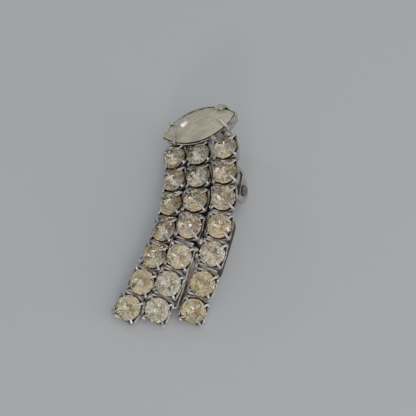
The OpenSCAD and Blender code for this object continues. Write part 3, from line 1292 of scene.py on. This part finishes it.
@dataclass
class Cup:
    """A square cup stamped from sheet, with a scalloped rim and a claw at each corner."""

    stone: RoundStone
    wall: float = 0.32
    floor: float = 0.35
    margin: float = 0.18
    taper: float = 0.4
    rim_dip: float = 0.5
    rim_steps: int = 4
    chamfer_share: float = 0.26
    edge_r: float = 0.05
    claw_t: float = 0.24
    claw_w: float = 0.42
    claw_reach: float = 0.6

    @property
    def half(self) -> float:
        """Half the cup's width at its rim."""
        return self.stone.diameter / 2 + self.margin

    @property
    def foot_half(self) -> float:
        """Half the cup's width at its back."""
        return self.half - self.taper

    @property
    def depth(self) -> float:
        """From the middle of the girdle to the cup's back."""
        return self.stone.pavilion + BACK_ROOM + self.floor

    def shell(self) -> bpy.types.Object:
        """Shape the hollow square cup.

        Returns:
            The cup without its claws.
        """
        rim_z = -self.stone.girdle / 2
        height = self.depth + rim_z
        cup = block("cup", (2 * self.half, 2 * self.half, height), (0, 0, rim_z - height / 2))
        foot_share = self.foot_half / self.half
        inner_share = (self.foot_half - self.wall) / (self.half - self.wall)
        hollow = height - self.floor
        with editing(cup):
            pick(Part.FACE, looks_down)
            resize(foot_share, foot_share, 1, (0, 0, -self.depth))
            pick(Part.EDGE, stands)
            bpy.ops.mesh.bevel(offset=self.chamfer_share * self.half, segments=3, affect="EDGES")
            pick(Part.FACE, looks_up)
            bpy.ops.mesh.inset(thickness=self.wall)
            extrude(z=-hollow)
            resize(inner_share, inner_share)
            reach = self.half * (1 - self.chamfer_share)
            near = 0.01
            for i in range(1 - self.rim_steps, self.rim_steps):
                line = i / self.rim_steps * reach
                score((line, 0, 0), (1, 0, 0))
                score((0, line, 0), (0, 1, 0))
            for i in range(self.rim_steps):
                line = i / self.rim_steps * reach
                pick(
                    Part.VERT,
                    lambda m, n: m.z > rim_z - 2 * near
                    and (abs(abs(m.x) - line) < near or abs(abs(m.y) - line) < near),
                )
                move(z=-self.rim_dip * math.cos(i / self.rim_steps * math.pi / 2) ** 2)
            close_up()
        round_edges(cup, self.edge_r)
        return cup

    def claw(self) -> bpy.types.Object:
        """Bend one claw, with the stone's edge at x = 0.

        Returns:
            The claw.
        """
        corner_r = (2 - self.chamfer_share) * self.half / math.sqrt(2)
        post = corner_r - self.stone.diameter / 2 - 0.3 * self.claw_t
        rise = self.stone.crown - self.stone.girdle / 2
        return bend_claw(
            foot=(
                (post - 0.12, -1.0),
                (post, -0.35),
                (post + 0.01, -0.02),
                (post - 0.1, 0.17),
                (post - 0.27, 0.27),
            ),
            over=(0.12, self.claw_reach),
            stone=self.stone,
            slope=rise * 2 / (self.stone.diameter - self.stone.table),
            lift=CLAW_LIFT + 0.5 * self.claw_t,
            sheet=(self.claw_w, self.claw_t),
            widths=(1.25, 1.1, 1.05, 1.0, 0.95, 0.9, 0.7),
            roundness=0.47,
        )

    def build(self) -> bpy.types.Object:
        """Shape the cup and set its four claws.

        Returns:
            The cup, with what stands over the girdle in slot 1.
        """
        shell, claw = self.shell(), self.claw()
        claws = [
            copy_of(claw, "claw", about_z(angle) @ shift(x=self.stone.diameter / 2))
            for angle in (45, 135, 225, 315)
        ]
        discard(claw)
        cup = join("cup", [shell, *claws])
        # What stands over the girdle, the claws, takes the lighter plate: partly rubbed wear,
        # partly a painted highlight
        mark(cup, lambda face: face.center.z > 0)
        return cup

    def dress(self, pattern: bpy.types.Object, strand: Strand, row: int, seat: Seat) -> None:
        """Set a copy of the cup in its seat.

        Args:
            pattern: The shaped cup.
            strand: The strand that it belongs to.
            row: Its row from the top, from 1.
            seat: Its seat.
        """
        piece = copy_of(pattern, f"cup_{strand.value}_{row}", seat.matrix())
        finish_piece(piece, [PLATE, RUBBED_AND_SHEEN])


@dataclass
class Wire:
    """Soft drawn wire between two or more points."""

    diameter: float
    sides: int = 12

    def build(self, name: str, points: Sequence[Vector]) -> bpy.types.Object:
        """Draw the wire through points in metres.

        Args:
            name: The piece's name.
            points: The points that its middle follows.

        Returns:
            The wire, in place.
        """
        radius = self.diameter / 2 * MM
        add = bpy.ops.mesh.primitive_circle_add
        wire = start_from(name, add, vertices=self.sides, radius=radius, fill_type="NGON")
        start = (points[1] - points[0]).normalized()
        turn = start.to_track_quat("Z", "Y").to_matrix().to_4x4()
        wire.data.transform(Matrix.Translation(points[0]) @ turn)
        with editing(wire):
            for a, b in zip(points, points[1:]):
                extrude(*(b - a))
            bpy.ops.mesh.select_all(action="SELECT")
            bpy.ops.mesh.normals_make_consistent(inside=False)
        round_edges(wire, 0.3 * radius, 2, 50)
        return wire


def solder_drop(size: Point, place: Matrix, seed: int) -> bpy.types.Object:
    """Let a drop of solder set.

    Args:
        size: Its size in millimetres.
        place: Where it lies.
        seed: Which irregular shape it takes.

    Returns:
        The drop.
    """
    drop = start_from("drop", bpy.ops.mesh.primitive_ico_sphere_add, subdivisions=2, radius=0.5)
    with editing(drop):
        bpy.ops.transform.vertex_random(offset=0.05, uniform=0.6, seed=seed)
        bpy.ops.transform.resize(value=size)
    apply_modifier(drop, "SUBSURF", levels=1, render_levels=1)
    bpy.ops.object.shade_smooth()
    drop.data.transform(place)
    return drop


@dataclass
class StrandMetal:
    """The flat links between the cups of one strand, and the webs of solder on them."""

    strand: Strand
    cup: Cup
    link_w: float = 1.4
    link_t: float = 0.54
    link_share: float = 0.85
    web_w: float = 2.9
    web_t: float = 0.62
    web_top: float = -0.4
    edge_r: float = 0.1

    def build(self, seats: Sequence[Seat]) -> bpy.types.Object:
        """Set a link and a web between each cup and the next.

        Args:
            seats: The seats of the strand's cups.

        Returns:
            The joined links and webs, in place.
        """
        end_y, end_z = self.link_share * self.cup.foot_half, self.link_t / 2 - self.cup.depth
        web_h = self.cup.depth + self.web_top - self.link_t
        pieces = []
        for upper, lower in zip(seats, seats[1:]):
            a, b = upper.spot(y=-end_y, z=end_z), lower.spot(y=end_y, z=end_z)
            up = (a - b).normalized()
            across = up.cross(upper.out + lower.out).normalized()
            seat = Seat((a + b) / 2, across, up, across.cross(up))
            link = block("link", (self.link_w, (a - b).length / MM, self.link_t))
            web_size = (self.web_w, self.web_t, web_h)
            web = block("web", web_size, (0, 0, (self.link_t + web_h) / 2))
            for part in (link, web):
                round_edges(part, self.edge_r)
                part.data.transform(seat.matrix())
                pieces.append(part)
        return join(f"links_{self.strand.value}", pieces)

    def dress(self, seats: Sequence[Seat]) -> None:
        """Make the links and plate them.

        Args:
            seats: The seats of the strand's cups.
        """
        finish_piece(self.build(seats), [PLATE])


@dataclass
class Binding:
    """What holds the strands together: ties, the seam strip, solder and the navette's stems."""

    cup: Cup
    navette: NavetteSetting
    tie_d: float = 0.8
    tie_sunk: float = 0.12
    tie_rows: tuple[int, ...] = (1, 4, 7)
    seam_t: float = 0.3
    seam_h: float = 1.94
    seam_edge_r: float = 0.1
    fill_w: float = 1.1
    fill_h: float = 0.95
    # How far up the ties the strip and its solder start, as a share of a tie
    seam_low_share: float = 0.2
    # The strip's rows, and its shares of the way from the middle strand to the right one
    seam_path: tuple[Pair, ...] = (
        (5.05, 0.42),
        (5.3, 0.42),
        (5.6, 0.43),
        (5.85, 0.455),
        (6.1, 0.49),
        (6.35, 0.51),
        (6.55, 0.52),
        (6.8, 0.525),
        (7.0, 0.53),
    )
    web_size: Point = (0.6, 2.7, 1.0)
    web_deep: float = 1.2
    web_edge_r: float = 0.1
    # Each drop in the seam: its row, its share of the way across and down, its size and its shape
    seam_drops: tuple[tuple[float, Pair, Point, int], ...] = (
        (4.5, (0.5, 0.4), (1.84, 1.84, 1.84), 11),
        (5.0, (0.5, 0.4), (1.44, 1.44, 1.44), 12),
        # The third drop, broad, flat and low in the seam, closes the hole between the middle and
        # right strands at rows 4 and 5: painted shade, put where the floor would show lit
        (4.62, (0.3, 0.8), (2.6, 2.4, 0.6), 21),
    )
    # Each drop at the boat-shaped stone: the strand, its place from the top cup and its size
    top_drops: tuple[tuple[Strand, Point, Point], ...] = (
        (Strand.LEFT, (-1.76, 2.0, -0.56), (1.44, 1.44, 1.44)),
        (Strand.LEFT, (-0.8, 2.7, -0.75), (3.2, 1.6, 1.5)),
        (Strand.MIDDLE, (-1.52, 2.48, -0.48), (1.2, 1.2, 1.2)),
        (Strand.RIGHT, (-2.08, 2.48, -0.52), (1.44, 1.44, 1.44)),
        (Strand.RIGHT, (0.32, 2.8, -0.8), (1.6, 1.6, 1.6)),
    )
    top_drops_shape: int = 31
    # Where the stems end on the setting, as shares of the boat-shaped stone, and how deep
    stem_x_share: float = 0.3
    stem_y_share: float = -0.2
    stem_deep: float = 0.14
    stem_start_share: float = 0.6

    def back(self, seat: Seat) -> Vector:
        """Where a tie meets the back of a cup."""
        return seat.spot(z=-self.cup.depth - self.tie_sunk * self.tie_d)

    def seam(self, seats: Seats, row: float, z: float, across: float) -> Vector:
        """A spot between the middle and right strands.

        Args:
            seats: The cups' seats.
            row: The row, which may lie between two cups.
            z: The height from the girdles, in millimetres.
            across: The share of the way from the middle strand to the right one.

        Returns:
            The spot, in metres.
        """
        low = min(int(row), ROWS - 1)
        spots = [
            seats[Strand.MIDDLE][r - 1].spot(z=z).lerp(seats[Strand.RIGHT][r - 1].spot(z=z), across)
            for r in (low, low + 1)
        ]
        return spots[0].lerp(spots[1], row - low)

    def bar(
        self, name: str, seats: Seats, width: float, height: float, aside: float
    ) -> bpy.types.Object:
        """Run a bar along the seam, from the height of the ties' tops.

        Args:
            name: The piece's name.
            seats: The cups' seats.
            width: The bar's width across the seam, in millimetres.
            height: How far it stands up, in millimetres.
            aside: How far it lies toward the right strand, in millimetres.

        Returns:
            The bar, in place.
        """
        low_z = -self.cup.depth + self.seam_low_share * self.tie_d
        line = [self.seam(seats, row, low_z + height / 2, u) for row, u in self.seam_path]
        row, share = self.seam_path[0]
        rise = (self.seam(seats, row, low_z + height, share) - line[0]).normalized()
        run = (line[1] - line[0]).normalized()
        across = rise.cross(run)
        if across.x < 0:
            across.negate()
        bar = start_from(name, bpy.ops.mesh.primitive_plane_add, size=1)
        turn = Matrix((across, rise, run)).transposed().to_4x4()
        size = Matrix.Diagonal((width * MM, height * MM, 1, 1))
        bar.data.transform(Matrix.Translation(line[0] + across * aside * MM) @ turn @ size)
        with editing(bar):
            for a, b in zip(line, line[1:]):
                extrude(*(b - a))
            close_up(MERGE_NEAR * MM)
        round_edges(bar, self.seam_edge_r * MM, 3)
        return bar

    def ties(self, seats: Seats) -> list[bpy.types.Object]:
        """Lay the ties across the backs of the strands.

        Args:
            seats: The cups' seats.

        Returns:
            The ties, in place.
        """
        tie = Wire(self.tie_d)
        return [
            tie.build("tie", [self.back(seats[a][row - 1]), self.back(seats[b][row - 1])])
            for row in self.tie_rows
            for a, b in ((Strand.LEFT, Strand.MIDDLE), (Strand.MIDDLE, Strand.RIGHT))
        ]

    def solder(self, seats: Seats) -> list[bpy.types.Object]:
        """Let the drops of solder set in the seam and under the boat-shaped stone.

        Args:
            seats: The cups' seats.

        Returns:
            The drops, in place.
        """
        drops = []
        for row, (across, down), size, shape in self.seam_drops:
            spot = self.seam(seats, row, -down * self.cup.depth, across)
            drops.append(solder_drop(size, level_at(spot), shape))
        for shape, (strand, spot, size) in enumerate(self.top_drops, self.top_drops_shape):
            drops.append(solder_drop(size, seats[strand][0].matrix() @ shift(*spot), shape))
        return drops

    def webs(self, seats: Seats) -> list[bpy.types.Object]:
        """Fill the gap between the left and middle strands, row by row.

        Args:
            seats: The cups' seats.

        Returns:
            The webs, in place.
        """
        webs = []
        for left, middle in zip(seats[Strand.LEFT], seats[Strand.MIDDLE]):
            a = left.spot(x=self.cup.foot_half, z=-self.web_deep)
            b = middle.spot(x=-self.cup.foot_half, z=-self.web_deep)
            across = (b - a).normalized()
            up = (left.out + middle.out).cross(across).normalized()
            web = block("fill", self.web_size)
            round_edges(web, self.web_edge_r)
            web.data.transform(Seat((a + b) / 2, across, up, across.cross(up)).matrix())
            webs.append(web)
        return webs

    def stems(self, seats: Seats, top: Seat) -> list[bpy.types.Object]:
        """Run a stem from each strand's top cup to the boat-shaped setting.

        Args:
            seats: The cups' seats.
            top: The seat of the boat-shaped stone.

        Returns:
            The stems, in place.
        """
        stone = self.navette.stone
        start = {
            "y": (self.cup.foot_half + self.cup.half) / 2,
            "z": -self.stem_start_share * self.cup.depth,
        }
        stems = []
        for side, strand in ((-1, Strand.LEFT), (0, Strand.MIDDLE), (1, Strand.RIGHT)):
            end = top.spot(
                x=side * self.stem_x_share * stone.length,
                y=self.stem_y_share * stone.width,
                z=self.stem_deep - self.navette.depth,
            )
            stems.append(Wire(self.tie_d).build("stem", [seats[strand][0].spot(**start), end]))
        return stems

    def dress(self, seats: Seats, top: Seat) -> None:
        """Make the ties, the seam strip, the solder and the stems, and plate them.

        Args:
            seats: The cups' seats.
            top: The seat of the boat-shaped stone.
        """
        finish_piece(join("strand_ties", self.ties(seats)), [PLATE])
        finish_piece(join("strand_solder", self.solder(seats)), [PLATE])
        finish_piece(join("strand_webs", self.webs(seats)), [PLATE])
        finish_piece(join("setting_stems", self.stems(seats, top)), [PLATE])
        finish_piece(self.bar("seam_strip", seats, self.seam_t, self.seam_h, 0), [RUBBED_AND_SHEEN])
        filled = self.bar("seam_solder", seats, self.fill_w, self.fill_h, self.fill_w / 2)
        finish_piece(filled, [PLATE])


@dataclass
class NavetteSetting:
    """The boat-shaped setting with three claws and one broad tab."""

    stone: Navette
    wall: float = 0.24
    gap: float = 0.2
    floor: float = 0.35
    taper: float = 0.576
    edge_steps: int = 28
    edge_r: float = 0.06
    claw_t: float = 0.32
    claw_at: float = 0.7
    claw_reach: float = 0.9
    claw_w: float = 0.52
    tab_w: float = 1.7
    post_gap: float = 0.15
    far_out: float = 0.18

    @property
    def depth(self) -> float:
        """From the middle of the girdle to the setting's back."""
        return self.stone.pavilion + BACK_ROOM + self.floor

    def shell(self) -> bpy.types.Object:
        """Shape the hollow boat.

        Returns:
            The setting without its claws.
        """
        length = self.stone.length + 2 * (self.gap + self.wall)
        width = self.stone.width + 2 * (self.gap + self.wall)
        rim_z = -self.stone.girdle / 2
        shell = boat_blank("navette_setting", length, width, rim_z, self.edge_steps)
        height = self.depth + rim_z
        foot = (1 - 2 * self.taper / length, 1 - 2 * self.taper / width)
        with editing(shell):
            extrude(z=-height)
            resize(foot[0], foot[1], 1, (0, 0, -self.depth))
            close_up()
            pick(Part.FACE, looks_up)
            bpy.ops.mesh.inset(thickness=self.wall)
            extrude(z=-(height - self.floor))
            resize(foot[0], foot[1])
            close_up()
        round_edges(shell, self.edge_r, 2, 50)
        return shell

    def edge(self) -> Pair:
        """Follow the stone's edge to a claw.

        Returns:
            The edge's turn there, and how far out it lies.
        """
        arc_r = arc_radius(self.stone.length, self.stone.width)
        angle = math.asin(self.claw_at * self.stone.length / 2 / arc_r)
        return angle, arc_r * math.cos(angle) - arc_r + self.stone.width / 2

    def claw(self, width: float) -> bpy.types.Object:
        """Bend one claw, with the stone's edge at x = 0.

        Args:
            width: Its width.

        Returns:
            The claw.
        """
        angle, edge_y = self.edge()
        reach = self.claw_at * self.stone.length / 2 * math.sin(angle) + edge_y * math.cos(angle)
        run = (1 - self.stone.table_share) * reach
        post = self.post_gap + self.claw_t / 2
        return bend_claw(
            foot=(
                (post - 0.14, -1.3),
                (post + 0.02, -0.5),
                (post + 0.04, 0.0),
                (post - 0.03, 0.28),
            ),
            over=(0.05, 0.35, self.claw_reach),
            stone=self.stone,
            slope=(self.stone.crown - self.stone.girdle / 2) / run,
            lift=CLAW_LIFT + 0.55 * self.claw_t,
            sheet=(width, self.claw_t),
            widths=(1.2, 1.1, 1.0, 1.0, 0.97, 0.92, 0.75),
            roundness=0.4,
        )

    def claws(self) -> bpy.types.Object:
        """Set the claws round the stone, with the broad tab at its far right.

        Returns:
            The joined claws.
        """
        angle, edge_y = self.edge()
        claws = []
        for side_x, side_y in ((1, 1), (-1, 1), (1, -1), (-1, -1)):
            claw = self.claw(self.tab_w if (side_x, side_y) == (1, 1) else self.claw_w)
            facing = math.degrees(math.atan2(side_y * math.cos(angle), side_x * math.sin(angle)))
            place = shift(side_x * self.claw_at * self.stone.length / 2, side_y * edge_y)
            out = self.far_out if side_y > 0 else 0
            claw.data.transform(place @ about_z(facing) @ shift(x=out, z=out))
            claws.append(claw)
        return join("navette_claws", claws)

    def dress(self, seat: Seat) -> None:
        """Make the setting, set it in its seat and plate it.

        Args:
            seat: The stone's seat.
        """
        for piece, finish in ((self.claws(), RUBBED_AND_SHEEN), (self.shell(), PLATE)):
            piece.data.transform(seat.matrix())
            finish_piece(piece, [finish])


@dataclass
class ClipBase:
    """The plate soldered behind the strands, and the two ears that hold the pin."""

    width: float = 7.3
    thick: float = 0.6
    run: float = 6.0
    rise: float = 2.9
    drop: float = 3.1
    ear_r: float = 2.15
    leg: float = 0.54
    slot_low: float = 1.14
    elbow_share: float = 0.12
    corner_r: float = 0.5
    plate_edge_r: float = 0.1
    ear_edge_r: float = 0.12
    solder_t: float = 0.35
    foot_d: float = 2.1
    foot_shape: int = 21

    def plate(self) -> bpy.types.Object:
        """Shape the base plate.

        Returns:
            The plate.
        """
        plate = block(
            "clip_base",
            (self.width, self.run + self.rise, self.thick),
            (0, (self.rise - self.run) / 2, self.drop - self.thick / 2),
        )
        with editing(plate):
            pick(Part.EDGE, stands)
            bpy.ops.mesh.bevel(offset=self.corner_r, segments=4, affect="EDGES")
        round_edges(plate, self.plate_edge_r)
        return plate

    def ear(self, side: int) -> bpy.types.Object:
        """Shape one ear: half a disc round the pin under a square top.

        Args:
            side: -1 for the left ear and 1 for the right one.

        Returns:
            The ear.
        """
        x = side * self.width / 2 - (self.thick if side > 0 else 0)
        end_y = 0.98 * self.ear_r
        ear = single_point("ear", (x, -self.ear_r, 0))
        with editing(ear):
            bpy.ops.mesh.spin(steps=20, angle=-math.pi, center=(x, 0, 0), axis=(1, 0, 0))
            pick(Part.VERT, lambda m, n: m.y > end_y and abs(m.z) < 0.01)
            extrude(z=self.elbow_share * self.drop)
            extrude(y=self.rise - self.ear_r)
            extrude(z=(1 - self.elbow_share) * self.drop)
            pick(Part.VERT, lambda m, n: m.y < -end_y and abs(m.z) < 0.01)
            extrude(z=self.drop)
            fill()
            extrude(x=self.thick)
            close_up()
        near_y, far_y = self.leg - self.ear_r, self.rise - self.leg
        low_z, high_z = self.slot_low, self.drop - self.thick
        slot = block(
            "slot",
            (2 * self.thick, far_y - near_y, high_z - low_z),
            (x + self.thick / 2, (near_y + far_y) / 2, (high_z + low_z) / 2),
        )
        apply_modifier(ear, "BOOLEAN", object=slot, operation="DIFFERENCE", solver="EXACT")
        discard(slot)
        round_edges(ear, self.ear_edge_r, 3)
        slack = 0.02
        # The walls inside the slot take the second, dark finish: painted shade inside the slot
        mark(
            ear,
            lambda face: near_y - slack < face.center.y < far_y + slack
            and low_z - slack < face.center.z < high_z + slack
            and abs(face.normal.x) < 0.5,
        )
        return ear

    def feet(self, seats: Sequence[Seat], cup: Cup) -> bpy.types.Object:
        """Let the solder set between the cups and the plate.

        Args:
            seats: The seats of the cups that hold the plate.
            cup: Their shape.

        Returns:
            The joined drops, in place.
        """
        size = (self.foot_d, self.foot_d, 1.6 * self.solder_t)
        sunk = shift(z=-cup.depth - 0.3 * self.solder_t)
        drops = [
            solder_drop(size, seat.matrix() @ sunk, shape)
            for shape, seat in enumerate(seats, self.foot_shape)
        ]
        return join("base_solder", drops)

    def dress(self, hinge: Seat, seats: Sequence[Seat], cup: Cup) -> None:
        """Make the plate, its ears and its solder, and plate them.

        Args:
            hinge: The seat of the hinge.
            seats: The seats of the cups that hold the plate.
            cup: Their shape.
        """
        for piece in (self.plate(), join("clip_ears", [self.ear(-1), self.ear(1)])):
            piece.data.transform(hinge.matrix())
            finish_piece(piece, [CLIP_PLATE, DARK_NICKEL_AND_SHADE])
        finish_piece(self.feet(seats, cup), [PLATE])


@dataclass
class Paddle:
    """The tongue that presses the lobe: a bowed tray with a raised rim and a rolled knuckle."""

    width: float = 5.8
    length: float = 15.75
    neck_half: float = 1.595
    wide_r: float = 2.61
    wide_at: float = 6.095
    tip_r: float = 1.798
    sheet: float = 0.5
    rim_h: float = 1.2
    bow_r: float = 60.0
    low_share: float = 0.55
    knuckle_d: float = 2.6
    arc_steps: int = 12
    bow_steps: int = 24
    rim_r: float = 0.16
    knuckle_edge_r: float = 0.18

    def edge(self) -> list[Pair]:
        """Draw the outline.

        Returns:
            Its points down the neck, round the wide body and the tip, and back up.
        """
        tip_y = self.tip_r - self.length
        lean = math.asin((self.wide_r - self.tip_r) / (-self.wide_at - tip_y))
        neck = math.acos(self.neck_half / self.wide_r)
        arcs = (
            (self.wide_r, -self.wide_at, neck, neck + lean),
            (self.tip_r, tip_y, -lean, math.pi / 2 - lean),
        )
        points = [(self.neck_half, 0.0)]
        for radius, middle_y, start, sweep in arcs:
            for i in range(self.arc_steps + 1):
                turn = start - sweep * i / self.arc_steps
                points.append((radius * math.cos(turn), radius * math.sin(turn) + middle_y))
        return points + [(-x, y) for x, y in reversed(points[:-1])]

    def build(self) -> bpy.types.Object:
        """Shape the tray, bow it and roll its knuckle.

        Returns:
            The paddle, with the edge of its rim in slot 1.
        """
        tray = outline("tray", self.edge())
        with editing(tray):
            extrude(z=self.rim_h)
            close_up()
            pick(Part.FACE, looks_up)
            bpy.ops.mesh.inset(thickness=self.sheet)
            extrude(z=-(self.rim_h - self.sheet))
            for i in range(1, self.bow_steps):
                score((0, -self.length * i / self.bow_steps, 0), (0, 1, 0))
        round_edges(tray, self.rim_r, 3)
        # The top of the rim takes the bright plate, against the dark tray: a painted highlight
        # along the paddle's edge
        highlit_rims = [face.index for face in tray.data.polygons if face.center.z > 0.93 * self.rim_h]
        self.bow(tray)
        knuckle = rod("knuckle", self.knuckle_d / 2, self.width, 40)
        round_edges(knuckle, self.knuckle_edge_r, 3, 50)
        paddle = join("bowed_paddle", [tray, knuckle])
        for i in highlit_rims:
            paddle.data.polygons[i].material_index = 1
        return paddle

    def bow(self, tray: bpy.types.Object) -> None:
        """Bow the flat tray in its length, with its lowest line at its share of the length.

        Args:
            tray: The tray.
        """
        low_y = -self.low_share * self.length
        sag = low_y**2 / (2 * self.bow_r)
        for vertex in tray.data.vertices:
            rise = (vertex.co.y - low_y) ** 2 / (2 * self.bow_r)
            vertex.co.z += rise - sag - self.knuckle_d / 2

    def dress(self, hinge: Seat) -> None:
        """Make the paddle, hang it on the hinge and plate it.

        Args:
            hinge: The seat of the hinge.
        """
        paddle = self.build()
        paddle.data.transform(hinge.matrix())
        finish_piece(paddle, [DARK_NICKEL_AND_SHADE, CLIP_PLATE], "clip_paddle", PADDLE)


@dataclass
class Pin:
    """The hinge pin, peened over at both ends."""

    diameter: float = 1.0
    head_d: float = 1.8
    head_t: float = 0.35
    head_edge_share: float = 0.4
    width: float = 7.3

    def build(self) -> bpy.types.Object:
        """Shape the shank and its two heads.

        Returns:
            The pin.
        """
        parts = [rod("shank", self.diameter / 2, self.width + self.head_t)]
        for side in (-1, 1):
            head = rod("head", self.head_d / 2, self.head_t)
            round_edges(head, self.head_edge_share * self.head_t, 4, 50)
            head.data.transform(shift(x=side * (self.width + self.head_t) / 2))
            parts.append(head)
        return join("peened_pin", parts)

    def dress(self, hinge: Seat) -> None:
        """Make the pin and set it in the hinge.

        Args:
            hinge: The seat of the hinge.
        """
        pin = self.build()
        pin.data.transform(hinge.matrix())
        finish_piece(pin, [DRAWN], "hinge_pin")


@dataclass
class LeafSpring:
    """A leaf that lies along the base plate and bends down onto the knuckle."""

    width: float = 3.4
    thick: float = 0.3
    base: ClipBase = field(default_factory=ClipBase)
    knuckle_d: float = 2.6
    gap: float = 0.03
    nose_share: float = 0.55
    edge_r: float = 0.06

    def build(self) -> bpy.types.Object:
        """Bend the leaf.

        Returns:
            The leaf.
        """
        high = self.base.drop - self.base.thick - self.gap - self.thick / 2
        low = self.knuckle_d / 2 + self.gap + self.thick / 2
        nose = self.nose_share * self.base.ear_r
        path = [
            (-self.base.run + self.base.thick, high),
            (-self.knuckle_d - 0.15, high),
            (-self.knuckle_d + 0.15, high - 0.05),
            (-nose - 0.1, low + 0.05),
            (-nose + 0.15, low),
            (nose, low),
        ]
        leaf = ribbon("leaf_spring", path, [self.width] * len(path), self.thick)
        leaf.data.transform(about_z(90))
        round_edges(leaf, self.edge_r)
        return leaf

    def dress(self, hinge: Seat) -> None:
        """Bend the leaf and set it over the hinge.

        Args:
            hinge: The seat of the hinge.
        """
        leaf = self.build()
        leaf.data.transform(hinge.matrix())
        finish_piece(leaf, [ROLLED], "clip_spring")


# The room


@dataclass
class Studio:
    """A pale floor, soft light and the camera at the photograph's angle."""

    aim_from_middle_stone: Point = (1.64, -9.5, -0.77)
    elevation: float = 64.2
    distance: float = 160.0
    focal_px: float = 992.3
    image_px: int = 416
    sensor_mm: float = 36.0
    near_m: float = 0.01
    floor_m: float = 3.0
    floor_colour: str = "#CDD0D2"
    floor_roughness: float = 0.9
    air_colour: str = "#E6EAEE"
    air_strength: float = 0.42
    # Each lamp's name, its place, its width and height, its watts and its roll in degrees
    lamps: tuple[tuple[str, Point, Pair, float, float], ...] = (
        ("window", (-254, 216, 206), (28, 16), 0.08, -45),
        ("door", (350, -110, 160), (160, 160), 0.24, 0),
        ("soft_box", (130, -70, 380), (420, 420), 0.52, 0),
        ("low_lamp", (-30, -330, 165), (70, 50), 0.2, 0),
    )

    def camera(self, stone: Seat) -> None:
        """Set the camera on the photograph's line of sight.

        Args:
            stone: The seat of the middle strand's top stone, which the aim is measured from.
        """
        data = bpy.data.cameras.new("camera")
        data.sensor_width = self.sensor_mm
        data.lens = self.focal_px * self.sensor_mm / self.image_px
        data.clip_start = self.near_m
        camera = bpy.data.objects.new("camera", data)
        tilt = math.radians(self.elevation)
        aim = stone.origin + Vector(self.aim_from_middle_stone) * MM
        back = Vector((0, -math.cos(tilt), math.sin(tilt)))
        camera.location = aim + back * self.distance * MM
        camera.rotation_euler = (math.pi / 2 - tilt, 0, 0)
        bpy.context.scene.collection.objects.link(camera)
        bpy.context.scene.camera = camera

    def floor(self) -> None:
        """Lay the pale floor."""
        floor = start_from("floor", bpy.ops.mesh.primitive_plane_add, size=self.floor_m)
        # Matt pale paper, so that the earring's shadow falls on it softly
        material, shader, _ = new_material("pale_paper")
        shader.inputs["Base Color"].default_value = linear(self.floor_colour)
        shader.inputs["Roughness"].default_value = self.floor_roughness
        floor.data.materials.append(material)

    def lamp(self, name: str, place: Point, size: Pair, power: float, roll: float) -> None:
        """Hang one soft box that looks at the earring.

        Args:
            name: The lamp's name.
            place: Where it hangs, in millimetres.
            size: Its width and height, in millimetres.
            power: Its power in watts.
            roll: Its turn round the line to the earring, in degrees.
        """
        data = bpy.data.lights.new(name, "AREA")
        data.shape = "RECTANGLE"
        data.size, data.size_y = size[0] * MM, size[1] * MM
        data.energy = power
        lamp = bpy.data.objects.new(name, data)
        lamp.location = Vector(place) * MM
        aim = (-lamp.location).to_track_quat("-Z", "Y")
        lamp.rotation_euler = (aim @ Quaternion((0, 0, 1), math.radians(roll))).to_euler()
        bpy.context.scene.collection.objects.link(lamp)

    def world(self) -> None:
        """Fill the room with even light."""
        world = bpy.data.worlds.new("room")
        world.use_nodes = True
        sky = world.node_tree.nodes["Background"]
        sky.inputs["Color"].default_value = linear(self.air_colour)
        sky.inputs["Strength"].default_value = self.air_strength
        bpy.context.scene.world = world

    def build(self, stone: Seat) -> None:
        """Set up the camera, the floor and the light.

        Args:
            stone: The seat of the middle strand's top stone.
        """
        self.camera(stone)
        self.floor()
        for lamp in self.lamps:
            self.lamp(*lamp)
        self.world()


def main() -> None:
    """Build every piece of the earring and the room round it."""
    logging.basicConfig(level=logging.INFO, format="%(message)s")
    seats = {strand: strand_seats(strand) for strand in Strand}
    top, hinge = navette_seat(), pin_seat()
    Studio().build(seats[Strand.MIDDLE][0])

    stone, navette = RoundStone(), Navette()
    cup, setting = Cup(stone), NavetteSetting(navette)
    cut, holder = stone.build(), cup.build()
    for strand, places in seats.items():
        for row, seat in enumerate(places, 1):
            stone.dress(cut, strand, row, seat)
            cup.dress(holder, strand, row, seat)
        StrandMetal(strand, cup).dress(places)
    discard(cut, holder)
    navette.dress(top)
    setting.dress(top)
    Binding(cup, setting).dress(seats, top)

    under = [seats[strand][row - 1] for strand in (Strand.MIDDLE, Strand.RIGHT) for row in (2, 3)]
    ClipBase().dress(hinge, under, cup)
    for clip_part in (Paddle(), Pin(), LeafSpring()):
        clip_part.dress(hinge)


if __name__ == "__main__":
    main()
